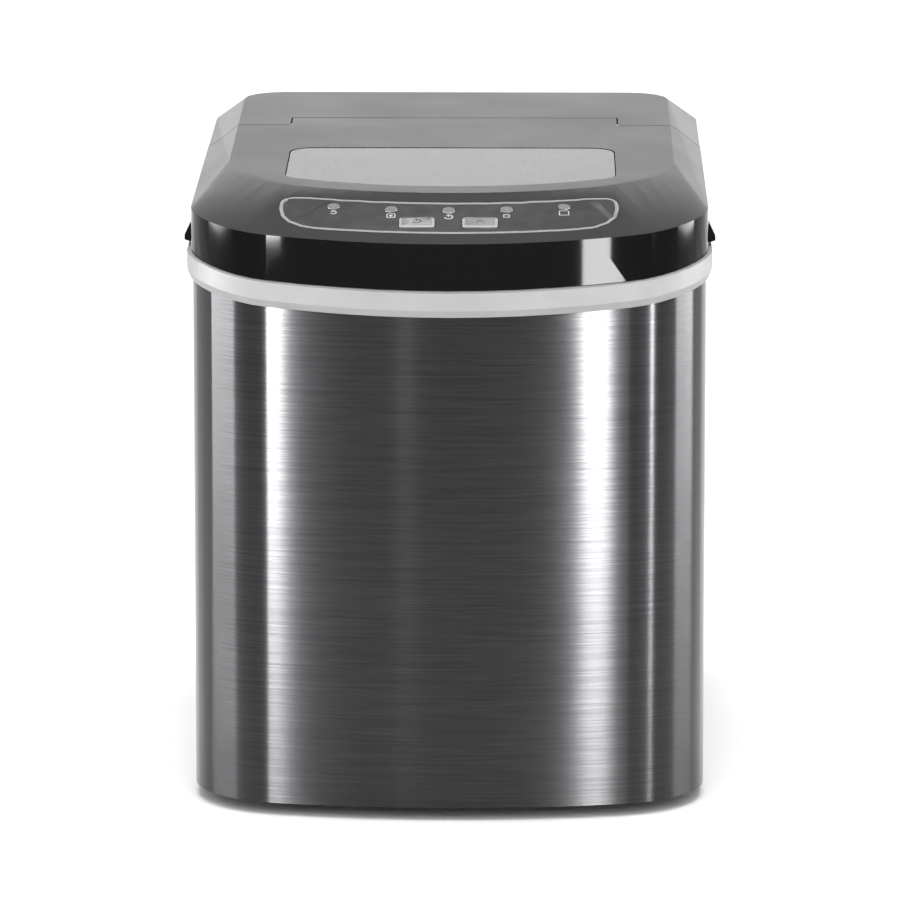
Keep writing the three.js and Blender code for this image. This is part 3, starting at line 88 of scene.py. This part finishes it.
def node(material, kind, links=None, values=None, **settings):
    """Adds one node: its settings, its unlinked values, and links from (node, output) pairs."""
    tree = material.node_tree
    made = tree.nodes.new(kind)
    for key, value in settings.items():
        setattr(made, key, value)
    for socket, value in (values or {}).items():
        made.inputs[socket].default_value = value
    for socket, (source, output) in (links or {}).items():
        tree.links.new(source.outputs[output], made.inputs[socket])
    return made


def plug(material, socket, source, output):
    """Links an output to the shader of a material."""
    shader = material.node_tree.nodes["Principled BSDF"]
    material.node_tree.links.new(source.outputs[output], shader.inputs[socket])


def grain(material, size_mm, low, high, squash=(1, 1, 1), detail=3.0):
    """Noise on object coordinates with one grain per size_mm, spread between two values."""
    place = node(material, "ShaderNodeTexCoord")
    turn = node(material, "ShaderNodeMapping", {"Vector": (place, "Object")}, {"Scale": squash})
    noise = node(material, "ShaderNodeTexNoise", {"Vector": (turn, "Vector")},
                 {"Scale": 1 / (size_mm * MM), "Detail": detail, "Roughness": 0.6})
    return node(material, "ShaderNodeMapRange", {"Value": (noise, "Fac")},
                {"From Min": 0.3, "From Max": 0.7, "To Min": low, "To Max": high})


def tint(material, fac, dark, light):
    """The colour of a surface, between two close shades."""
    mix = node(material, "ShaderNodeMix", {"Factor": (fac, "Result")}, data_type="RGBA")
    mix.inputs["A"].default_value = srgb(dark)
    mix.inputs["B"].default_value = srgb(light)
    plug(material, "Base Color", mix, "Result")


def dent(material, fac, depth_mm, strength=1.0):
    """Relief of a given depth on the surface."""
    bump = node(material, "ShaderNodeBump", {"Height": (fac, "Result")},
                {"Strength": strength, "Distance": depth_mm * MM})
    plug(material, "Normal", bump, "Normal")


# ---- Finishes ----

def brushed_stainless():
    # Stainless sheet, belt-brushed level all round: long fine scratches that smear light upwards only.
    steel = new_material("brushed_stainless_painted_dark", Metallic=1.0, Roughness=0.24, Anisotropic=1.0)
    upright = node(steel, "ShaderNodeCombineXYZ", None, {"X": 0.0, "Y": 0.0, "Z": 1.0})
    plug(steel, "Tangent", upright, "Vector")
    # Belt scratches are about 0.3 mm apart and tens of millimetres long.
    scratches = grain(steel, 0.45, 0.0, 1.0, squash=(0.012, 0.012, 1.0), detail=4.0)
    smudges = grain(steel, 34.0, 0.22, 0.255, squash=(1.0, 1.0, 0.45))
    plug(steel, "Roughness", smudges, "Result")
    # Painted shade: the near-black colour stands in for a dark studio mirrored by the steel, since real stainless
    # reflects far more. The scratches only vary it a little.
    tint(steel, scratches, "#2F2F30", "#3D3D3E")
    dent(steel, scratches, 0.003, 0.3)
    return steel


def gloss_abs():
    # Black ABS, moulded against a polished face: deep gloss with a faint ripple.
    black = new_material("moulded_black_abs", Roughness=0.06)
    black.node_tree.nodes["Principled BSDF"].inputs["Specular IOR Level"].default_value = 0.09
    place = node(black, "ShaderNodeTexCoord")
    shape = node(black, "ShaderNodeNewGeometry")
    split = node(black, "ShaderNodeSeparateXYZ", {"Vector": (shape, "True Normal")})
    # Faces that look up are spark-eroded to a satin grain; upright ones stay polished. The same mask also paints
    # the faces that look up a lighter grey: painted top light.
    upward_satin_and_painted_light = node(black, "ShaderNodeMapRange", {"Value": (split, "Z")},
                 {"From Min": 0.55, "From Max": 0.8, "To Min": 0.0, "To Max": 1.0})
    fine = node(black, "ShaderNodeTexNoise", {"Vector": (place, "Object")},
                {"Scale": 1 / (0.5 * MM), "Detail": 2.0, "Roughness": 0.6})
    haze = node(black, "ShaderNodeTexNoise", {"Vector": (place, "Object")},
                {"Scale": 1 / (45 * MM), "Detail": 3.0, "Roughness": 0.5})
    haze_rough = node(black, "ShaderNodeMapRange", {"Value": (haze, "Fac")},
                      {"From Min": 0.3, "From Max": 0.7, "To Min": 0.32, "To Max": 0.36})
    rough = node(black, "ShaderNodeMix", {"Factor": (upward_satin_and_painted_light, "Result"), "B": (haze_rough, "Result")},
                 {"A": 0.05}, data_type="FLOAT")
    plug(black, "Roughness", rough, "Result")
    # Painted top light: faces that look up get #3A3A3B and upright faces #040404, though it is one black plastic.
    shade = node(black, "ShaderNodeMix", {"Factor": (upward_satin_and_painted_light, "Result")}, data_type="RGBA")
    shade.inputs["A"].default_value = srgb("#040404")
    shade.inputs["B"].default_value = srgb("#3A3A3B")
    plug(black, "Base Color", shade, "Result")
    height = node(black, "ShaderNodeMath", {0: (fine, "Fac"), 1: (upward_satin_and_painted_light, "Result")}, operation="MULTIPLY")
    bump = node(black, "ShaderNodeBump", {"Height": (height, "Value")},
                {"Strength": 0.35, "Distance": 0.03 * MM})
    plug(black, "Normal", bump, "Normal")
    return black


def moulded_plastic(name, dark, light, rough, grain_mm=0.6, depth=0.02, mottle_mm=30.0):
    """An opaque moulded plastic: a spark-eroded grain, and a slight change of shade from place to place."""
    plastic = new_material(name)
    mottle = grain(plastic, mottle_mm, 0.0, 1.0)
    tint(plastic, mottle, dark, light)
    gloss = grain(plastic, mottle_mm / 3, rough - 0.05, rough + 0.05)
    plug(plastic, "Roughness", gloss, "Result")
    skin = grain(plastic, grain_mm, 0.0, 1.0, detail=2.0)
    dent(plastic, skin, depth, 0.5)
    return plastic


def clear_plastic():
    # Smoke-tinted moulded styrene: glossy, slightly wavy, with hairline scuffs. Its index is set low, so that the
    # sheet mirrors less of the studio at a shallow angle.
    clear = new_material("clear_styrene_window", Roughness=0.12, IOR=1.18)
    clear.node_tree.nodes["Principled BSDF"].inputs["Transmission Weight"].default_value = 0.5
    clear.node_tree.nodes["Principled BSDF"].inputs["Specular IOR Level"].default_value = 0.12
    wave = grain(clear, 26.0, 0.0, 1.0, detail=1.0)
    tint(clear, wave, "#3C3E40", "#4A4C4E")
    scuff = grain(clear, 1.2, 0.05, 0.16, squash=(1.0, 0.06, 1.0))
    plug(clear, "Roughness", scuff, "Result")
    dent(clear, wave, 0.05, 0.3)
    return clear


def soft_hose():
    # Clear silicone hose: milky, soft shine.
    hose = new_material("milky_silicone_hose", Roughness=0.32, IOR=1.42)
    hose.node_tree.nodes["Principled BSDF"].inputs["Transmission Weight"].default_value = 0.45
    cloud = grain(hose, 5.0, 0.0, 1.0)
    tint(hose, cloud, "#D5D7D3", "#E6E8E4")
    dent(hose, cloud, 0.04, 0.3)
    return hose


def metal(name, dark, light, rough, grain_mm, squash=(1, 1, 1), depth=0.01):
    """A bare or plated metal whose polish varies along its working direction."""
    made = new_material(name, Metallic=1.0)
    streak = grain(made, grain_mm, 0.0, 1.0, squash=squash)
    tint(made, streak, dark, light)
    polish = grain(made, grain_mm * 3, rough - 0.06, rough + 0.06, squash=squash)
    plug(made, "Roughness", polish, "Result")
    dent(made, streak, depth, 0.4)
    return made


def bead_foam():
    # Expanded polystyrene: white beads about 4 mm across, pressed flat against each other.
    foam = new_material("expanded_polystyrene", Roughness=0.85)
    place = node(foam, "ShaderNodeTexCoord")
    beads = node(foam, "ShaderNodeTexVoronoi", {"Vector": (place, "Object")}, {"Scale": 1 / (4 * MM)})
    edge = node(foam, "ShaderNodeMapRange", {"Value": (beads, "Distance")},
                {"From Min": 0.1, "From Max": 0.6, "To Min": 1.0, "To Max": 0.0})
    tint(foam, edge, "#D9D9D2", "#F3F3EE")
    dent(foam, edge, 0.3, 0.6)
    return foam


def circuit_board():
    # Glass-epoxy board: green lacquer with copper tracks about 2 mm apart under it.
    board = new_material("green_circuit_board", Roughness=0.35)
    place = node(board, "ShaderNodeTexCoord")
    tracks = node(board, "ShaderNodeTexBrick", {"Vector": (place, "Object")},
                  {"Scale": 1 / (9 * MM), "Mortar Size": 0.035, "Mortar Smooth": 0.1})
    tracks.inputs["Color1"].default_value = srgb("#16492B")
    tracks.inputs["Color2"].default_value = srgb("#1B5533")
    tracks.inputs["Mortar"].default_value = srgb("#2F7A4B")
    plug(board, "Base Color", tracks, "Color")
    bump = node(board, "ShaderNodeBump", {"Height": (tracks, "Fac")},
                {"Strength": 0.3, "Distance": 0.04 * MM})
    plug(board, "Normal", bump, "Normal")
    return board


finish = {
    "brushed_steel": brushed_stainless(),
    "satin_black": gloss_abs(),
    # Black polypropylene for the panels that face the wall: matt, lightly grained.
    "panel_black": moulded_plastic("grained_black_polypropylene", "#1A1A1B", "#232324", 0.55, 0.9, 0.05),
    # Printed polycarbonate label: satin, dark grey.
    "label_black": moulded_plastic("satin_polycarbonate_label", "#1E1E1F", "#262627", 0.40, 0.4, 0.01),
    # Pale ABS trim with a soft shine.
    "trim_white": moulded_plastic("pale_satin_abs", "#989897", "#A0A09F", 0.62, 0.5, 0.01),
    # White food-grade polypropylene.
    "tub_white": moulded_plastic("white_food_polypropylene", "#BEC0C0", "#C8CACA", 0.4, 0.7, 0.02),
    "foam_white": bead_foam(),
    # Light grey key caps with a rubbed top.
    "button_grey": moulded_plastic("light_grey_key_plastic", "#787878", "#848484", 0.42, 0.4, 0.02, 6.0),
    "clear_window": clear_plastic(),
    "clear_hose": soft_hose(),
    # Moulded nitrile rubber: dull, faintly dusty.
    "rubber": moulded_plastic("moulded_nitrile_rubber", "#161616", "#222222", 0.8, 1.2, 0.06, 12.0),
    # Nickel over copper: warm, softly polished.
    "nickel": metal("nickel_plated_copper", "#B9B7B0", "#D0CEC8", 0.24, 8.0),
    # Zinc plating with a passivated cloudiness.
    "zinc_steel": metal("zinc_plated_steel", "#A5A8AA", "#C2C5C6", 0.42, 6.0, depth=0.02),
    # Rolled aluminium fin stock.
    "fin_aluminium": metal("rolled_aluminium_fin", "#B6B8BA", "#CDD0D1", 0.38, 2.0, (1.0, 1.0, 0.1)),
    # Baked black enamel on drawn steel.
    "compressor_black": moulded_plastic("baked_black_enamel", "#121213", "#1C1C1D", 0.3, 2.2, 0.04),
    # Drawn copper tube, tarnished in patches.
    "copper": metal("drawn_copper_tube", "#8F4F2C", "#C07A4E", 0.32, 9.0),
    "circuit_board": circuit_board(),
}
# Pale grey screen ink on the label.
ink = moulded_plastic("pale_screen_ink", "#868686", "#929292", 0.5, 0.3, 0.01, 5.0)
# Brighter ink for the small signs.
sign_ink = moulded_plastic("white_screen_ink", "#B4B4B4", "#C2C2C2", 0.5, 0.3, 0.01, 5.0)
# The key caps' pale rim; the pressed face inside it is darker.
key_rim = moulded_plastic("pale_key_rim_plastic", "#9C9C9C", "#A8A8A8", 0.42, 0.4, 0.02, 6.0)
# Dark ink on the key caps.
dark_ink = moulded_plastic("dark_screen_ink", "#2C2C2C", "#363636", 0.5, 0.3, 0.01, 5.0)
# Unlit lens: milky grey polycarbonate.
lens = moulded_plastic("milky_lamp_lens", "#767676", "#848484", 0.30, 0.8, 0.03, 3.0)


# ---- Modelling helpers ----

def only(obj):
    """Selects one object alone and makes it active."""
    bpy.ops.object.select_all(action="DESELECT")
    obj.select_set(True)
    bpy.context.view_layer.objects.active = obj


def bevel_edges(obj, width_mm, above_deg, segments=2):
    """Rounds every edge that is sharper than an angle, by a modifier that is then applied."""
    only(obj)
    bevel = obj.modifiers.new("edge_round", "BEVEL")
    bevel.width = width_mm * MM
    bevel.segments = segments
    bevel.limit_method = "ANGLE"
    bevel.angle_limit = math.radians(above_deg)
    bevel.use_clamp_overlap = True
    bpy.ops.object.modifier_apply(modifier=bevel.name)


def smooth(obj, angle_deg):
    """Shades an object smooth, except across edges sharper than an angle."""
    only(obj)
    bpy.ops.object.shade_smooth_by_angle(angle=math.radians(angle_deg))


def flatten_faces(obj):
    """Lets the large faces keep their own normals, so that the rounded edges take all the turning."""
    only(obj)
    weigh = obj.modifiers.new("face_weight", "WEIGHTED_NORMAL")
    weigh.mode = "FACE_AREA"
    weigh.keep_sharp = True
    bpy.ops.object.modifier_apply(modifier=weigh.name)


def settle(obj, body, slot, *materials):
    """Finishes a piece: its material and its body. The slot argument is not used."""
    only(obj)
    bpy.ops.object.transform_apply(location=True, rotation=True, scale=True)
    obj.data.materials.clear()
    for material in materials:
        obj.data.materials.append(material)
    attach(obj, body)


def moulded_copy(name, width_mm, above_deg=30, smooth_deg=30, segments=2):
    """A refined copy of a CAD node: one welded skin with rounded edges."""
    source = frame["nodes"][name]
    only(source)
    bpy.ops.object.duplicate()
    copy = bpy.context.view_layer.objects.active
    copy.name = name + "_finished"
    copy.data.name = copy.name
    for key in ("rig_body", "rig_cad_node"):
        if key in copy:
            del copy[key]
    copy.parent = None
    copy.matrix_world = Matrix.Identity(4)
    bpy.ops.object.mode_set(mode="EDIT")
    bpy.ops.mesh.select_all(action="SELECT")
    bpy.ops.mesh.remove_doubles(threshold=0.004 * MM)
    bpy.ops.mesh.dissolve_degenerate(threshold=0.004 * MM)
    bpy.ops.mesh.dissolve_limited(angle_limit=math.radians(0.4))
    bpy.ops.object.mode_set(mode="OBJECT")
    if width_mm:
        bevel_edges(copy, width_mm, above_deg, segments)
    smooth(copy, smooth_deg)
    flatten_faces(copy)
    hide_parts(name)
    return copy


# ---- Camera, floor and light ----
ELEVATION = math.radians(10.9)
AZIMUTH = math.radians(0.75)
DISTANCE = 3.323
LENS_MM = 280
SENSOR_MM = 36
target = Vector((0.001, steel_low.y, 0.181))


def add_camera():
    """A long lens, a little above the front and very slightly to the right."""
    data = bpy.data.cameras.new("camera")
    data.lens = LENS_MM
    data.sensor_width = SENSOR_MM
    data.clip_end = 50
    camera = bpy.data.objects.new("camera", data)
    bpy.context.scene.collection.objects.link(camera)
    out = Vector((math.sin(AZIMUTH) * math.cos(ELEVATION), -math.cos(AZIMUTH) * math.cos(ELEVATION),
                  math.sin(ELEVATION)))
    camera.location = target + out * DISTANCE
    camera.rotation_euler = (-out).to_track_quat("-Z", "Y").to_euler()
    bpy.context.scene.camera = camera


def add_panel_light(name, location, aim, width, height, radiance):
    """A soft box of a given size whose face has a given brightness."""
    data = bpy.data.lights.new(name, "AREA")
    data.shape = "RECTANGLE"
    data.size = width
    data.size_y = height
    data.energy = radiance * math.pi * width * height
    lamp = bpy.data.objects.new(name, data)
    bpy.context.scene.collection.objects.link(lamp)
    lamp.location = location
    lamp.rotation_euler = (Vector(aim) - Vector(location)).to_track_quat("-Z", "Y").to_euler()
    lamp.visible_camera = False
    return lamp


def around(bearing_deg, distance, height):
    """A place at a bearing from the front of the object, positive to the right."""
    bearing = math.radians(bearing_deg)
    return Vector((math.sin(bearing) * distance, steel_low.y - math.cos(bearing) * distance, height))


def add_upright_strip(name, bearing_deg, distance, width, radiance, foot):
    """A tall soft box that faces the object's front. Its top is always at the same height."""
    top = 1.7
    place = around(bearing_deg, distance, (top + foot) / 2)
    strip = add_panel_light(name, place, (0.0, steel_low.y, place.z), width, top - foot, radiance)
    # The strips are there for the steel to mirror, and leave the matt parts to the soft boxes.
    strip.visible_diffuse = False


# Upright strips: name, bearing from the front, distance, width, radiance, height of the foot.
STRIPS = (
    ("key_strip_right", 27.0, 1.10, 0.11, 88.0, 0.01),
    ("strip_left", -34.5, 1.10, 0.075, 150.0, 0.11),
    ("soft_strip_left", -8.5, 1.25, 0.05, 5.0, 0.14),
    ("edge_strip_right", 60.0, 1.20, 0.07, 100.0, 0.12),
    ("side_box_right", 104.0, 1.25, 0.60, 26.0, 0.1),
    ("side_box_left", -92.0, 1.25, 0.80, 30.0, 0.1),
)


def light_scene():
    """The paper floor, the strips, the soft boxes, one light from straight above, and a dim white studio."""
    bpy.ops.mesh.primitive_plane_add(size=30, location=(0, 0, 0))
    floor = bpy.context.view_layer.objects.active
    floor.name = "floor"
    # Matt studio sweep paper: near white, with a faint fibre.
    paper = new_material("white_sweep_paper", Roughness=0.9)
    fibre = grain(paper, 60.0, 0.0, 1.0)
    tint(paper, fibre, "#F4F4F4", "#F7F7F7")
    floor.data.materials.append(paper)
    for strip in STRIPS:
        add_upright_strip(*strip)
    add_panel_light("overhead_box", (0, 0.4, 2.6), (0, 0.2, 0), 2.6, 1.6, 0.8)
    fill = add_panel_light("front_fill", (0, -2.2, 1.3), (0, 0, 0.2), 2.4, 1.6, 1.7)
    # The fill lifts the matt parts only: the steel and the gloss would mirror its outline.
    fill.visible_glossy = False
    add_panel_light("backdrop_glow", (0, 3.6, 0.85), (0, 0, 0.3), 5.0, 1.3, 1.8)
    top_light = bpy.data.lights.new("top_light", "SUN")
    top_light.energy = 2.4
    top_light.angle = math.radians(40)
    top_lamp = bpy.data.objects.new("top_light", top_light)
    bpy.context.scene.collection.objects.link(top_lamp)
    top_lamp.location = (0, 0, 3)
    world = bpy.data.worlds.new("studio")
    bpy.context.scene.world = world
    world.use_nodes = True
    world.node_tree.nodes["Background"].inputs["Color"].default_value = srgb("#FFFFFF")
    world.node_tree.nodes["Background"].inputs["Strength"].default_value = 0.34
    bpy.context.scene.view_settings.view_transform = "Standard"


add_camera()
light_scene()

# ---- Pieces carried over from the CAD with rounded edges ----
EDGE_ROUND = {
    "steel_wrap": (0.35, 40, 35),
    "top_ring": (0.8, 25, 35),
    "lid_cover": (0.9, 24, 30),
    "rear_cover": (0.9, 24, 30),
    "rear_panel": (0.5, 40, 30),
    "base_pan": (0.6, 40, 35),
    "ice_tub": (0.8, 40, 35),
    "ice_basket": (0.6, 40, 35),
    "lid_liner": (0.5, 30, 35),
    "lid_window": (0.4, 40, 35),
    "evaporator_frame": (0.5, 40, 30),
    "evaporator": (0.5, 40, 35),
    "water_tray": (0.5, 40, 35),
    "ice_shovel": (0.4, 40, 35),
    "drain_cap": (0.5, 40, 35),
    "on_off_button": (0.45, 40, 40),
    "select_button": (0.45, 40, 40),
    "fan_blade": (0.4, 50, 40),
    "fan_shroud": (0.5, 40, 35),
    "fan_motor": (1.0, 50, 35),
    "tray_motor": (1.0, 50, 35),
    "water_pump": (0.8, 50, 35),
    "compressor": (0.8, 50, 40),
    "terminal_cover": (1.0, 40, 35),
    "hot_gas_valve": (0.8, 50, 35),
    "condenser": (0, 40, 35),
    "foam_cradle": (1.5, 40, 35),
    "partition": (0.2, 40, 35),
    "cord_gland": (0.4, 40, 35),
    "ice_sensor_left": (0.6, 40, 35),
    "ice_sensor_right": (0.6, 40, 35),
    "power_board": (0.2, 40, 35),
    "control_board": (0.2, 40, 35),
}
PLAIN_EDGE = (0.25, 45, 40)
BORDERED = ("control_label", "on_off_button", "select_button")
copies = {}
for name in frame["nodes"]:
    if name in BORDERED:
        continue
    width, above, soft = EDGE_ROUND.get(name, PLAIN_EDGE)
    copies[name] = moulded_copy(name, width, above, soft)
    surface = lens if name.endswith("_lamp") else finish[slot_of[name]]
    settle(copies[name], body_of[name], slot_of[name], surface)


# ---- Control label and key caps: a border on the top face, and generic signs ----

def bordered_copy(name, width_mm, face_finish, border_finish, keep_clear=()):
    """A refined copy whose top face has a border of another finish, left open near some places."""
    width, above, soft = EDGE_ROUND.get(name, (0, 40, 30))
    piece = moulded_copy(name, width, above, soft)
    bpy.ops.object.mode_set(mode="EDIT")
    bpy.context.tool_settings.mesh_select_mode = (False, False, True)
    bpy.ops.mesh.select_all(action="DESELECT")
    bpy.ops.object.mode_set(mode="OBJECT")
    for face in piece.data.polygons:
        face.select = face.normal.z > 0.9 if width else face.normal.z > 0.6
    bpy.ops.object.mode_set(mode="EDIT")
    bpy.ops.mesh.inset(thickness=width_mm * MM, use_even_offset=True)
    bpy.ops.object.mode_set(mode="OBJECT")
    inner = {face.index for face in piece.data.polygons if face.select}
    settle(piece, body_of[name], slot_of[name], face_finish, border_finish)
    for face in piece.data.polygons:
        near = any(a.x - 1.2 * MM < face.center.x < b.x + 1.2 * MM
                   and a.y - 1.2 * MM < face.center.y < b.y + 1.2 * MM for a, b in keep_clear)
        if face.normal.z > 0.6 and face.index not in inner and not near:
            face.material_index = 1
    copies[name] = piece


lamps_and_keys = [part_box(n) for n in frame["nodes"] if n.endswith("_lamp") or n.endswith("_button")]
bordered_copy("control_label", 1.7, finish["label_black"], ink, lamps_and_keys)
bordered_copy("on_off_button", 0.9, finish["button_grey"], key_rim)
bordered_copy("select_button", 0.9, finish["button_grey"], key_rim)


def on_face(x, y):
    """Where the label's or a cap's top is above a point, and its lean."""
    bpy.context.view_layer.update()
    hits = []
    for name in BORDERED:
        hit, place, normal, _ = copies[name].ray_cast(Vector((x, y, 0.5)), Vector((0, 0, -1)))
        if hit:
            hits.append((place, normal))
    return max(hits, key=lambda h: h[0].z)


def print_sign(name, x, y, parts, material, body="lid", slot="label_black"):
    """Lays a thin printed sign on the sloped face. The parts are made flat about the origin first."""
    only(parts[0])
    for part in parts:
        part.select_set(True)
    if len(parts) > 1:
        bpy.ops.object.join()
    sign = bpy.context.view_layer.objects.active
    sign.name = name
    place, normal = on_face(x, y)
    lean = Vector((0, 0, 1)).rotation_difference(normal)
    sign.matrix_world = Matrix.Translation(place + normal * 0.03 * MM) @ lean.to_matrix().to_4x4()
    settle(sign, body, slot, material)
    return sign


def flat_bar(width, length, x=0.0, y=0.0, turn=0.0):
    """A flat printed bar in millimetres, 0.06 thick, with rounded ends."""
    bpy.ops.mesh.primitive_cube_add(size=1, location=(0, 0, 0))
    bar = bpy.context.view_layer.objects.active
    bar.scale = (width * MM, length * MM, 0.06 * MM)
    bpy.ops.object.transform_apply(location=True, rotation=True, scale=True)
    bpy.ops.object.mode_set(mode="EDIT")
    bpy.ops.mesh.select_all(action="SELECT")
    bpy.ops.mesh.bevel(offset=min(width, length) * 0.3 * MM, segments=2, affect="EDGES", clamp_overlap=True)
    bpy.ops.object.mode_set(mode="OBJECT")
    bar.rotation_euler = (0, 0, math.radians(turn))
    bar.location = (x * MM, y * MM, 0.03 * MM)
    bpy.ops.object.transform_apply(location=True, rotation=True, scale=True)
    return bar


def flat_ring(outer, inner, x=0.0, y=0.0, sides=24, gap_deg=0.0):
    """A flat printed ring, with an optional gap at its top, spun from one small square."""
    bpy.ops.mesh.primitive_plane_add(size=(outer - inner) * MM, location=(0, 0, 0))
    ring = bpy.context.view_layer.objects.active
    bpy.ops.object.mode_set(mode="EDIT")
    bpy.ops.mesh.select_all(action="SELECT")
    bpy.ops.transform.rotate(value=math.radians(90), orient_axis="X", center_override=(0, 0, 0))
    bpy.ops.transform.resize(value=(1, 1, 0.06 / (outer - inner)))
    start = math.radians(90 + gap_deg / 2)
    radius = (outer + inner) / 2 * MM
    bpy.ops.transform.translate(value=(radius, 0, 0.03 * MM))
    bpy.ops.transform.rotate(value=-start, orient_axis="Z", center_override=(0, 0, 0))
    sweep = math.radians(360 - gap_deg)
    bpy.ops.mesh.spin(steps=sides, angle=sweep, center=(0, 0, 0), axis=(0, 0, 1))
    bpy.ops.mesh.select_all(action="SELECT")
    bpy.ops.mesh.remove_doubles(threshold=0.005 * MM)
    bpy.ops.mesh.normals_make_consistent(inside=False)
    bpy.ops.transform.translate(value=(x * MM, y * MM, 0))
    bpy.ops.object.mode_set(mode="OBJECT")
    return ring


def centre_of(name):
    """The middle of a CAD node's box."""
    low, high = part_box(name)
    return (low + high) / 2


def square_sign(size):
    half = size / 2
    return [flat_bar(size, 0.5, 0, half), flat_bar(size, 0.5, 0, -half),
            flat_bar(0.5, size, half, 0), flat_bar(0.5, size, -half, 0)]


def drop_sign():
    return [flat_ring(1.7, 1.15, 0, -0.5, 20, 80), flat_bar(0.5, 2.2, -0.68, 1.3, -28),
            flat_bar(0.5, 2.2, 0.68, 1.3, 28)]


def power_sign(scale=1.0):
    return [flat_ring(1.75 * scale, 1.25 * scale, 0, 0, 24, 70),
            flat_bar(0.5 * scale, 2.0 * scale, 0, 1.1 * scale)]


def chevron_sign():
    return [flat_bar(0.6, 2.8, -0.9, 0.2, -40), flat_bar(0.6, 2.8, 0.9, 0.2, 40)]


# How far in front of its lamp each sign is printed.
SIGN_DROP = 6.6 * MM
LAMP_SIGNS = (
    ("water_lamp", drop_sign),
    ("ice_full_lamp", lambda: square_sign(3.8) + [flat_bar(1.6, 1.6)]),
    ("power_lamp", lambda: power_sign(1.25)),
    ("small_lamp", lambda: square_sign(2.6)),
    ("large_lamp", lambda: square_sign(4.4)),
)
for name, parts in LAMP_SIGNS:
    spot = centre_of(name)
    print_sign(name + "_sign", spot.x, spot.y - SIGN_DROP, parts(), sign_ink)
for name, parts in (("on_off_button", lambda: power_sign(1.2)), ("select_button", chevron_sign)):
    spot = centre_of(name)
    print_sign(name + "_sign", spot.x, spot.y, parts(), dark_ink, body_of[name], "button_grey")
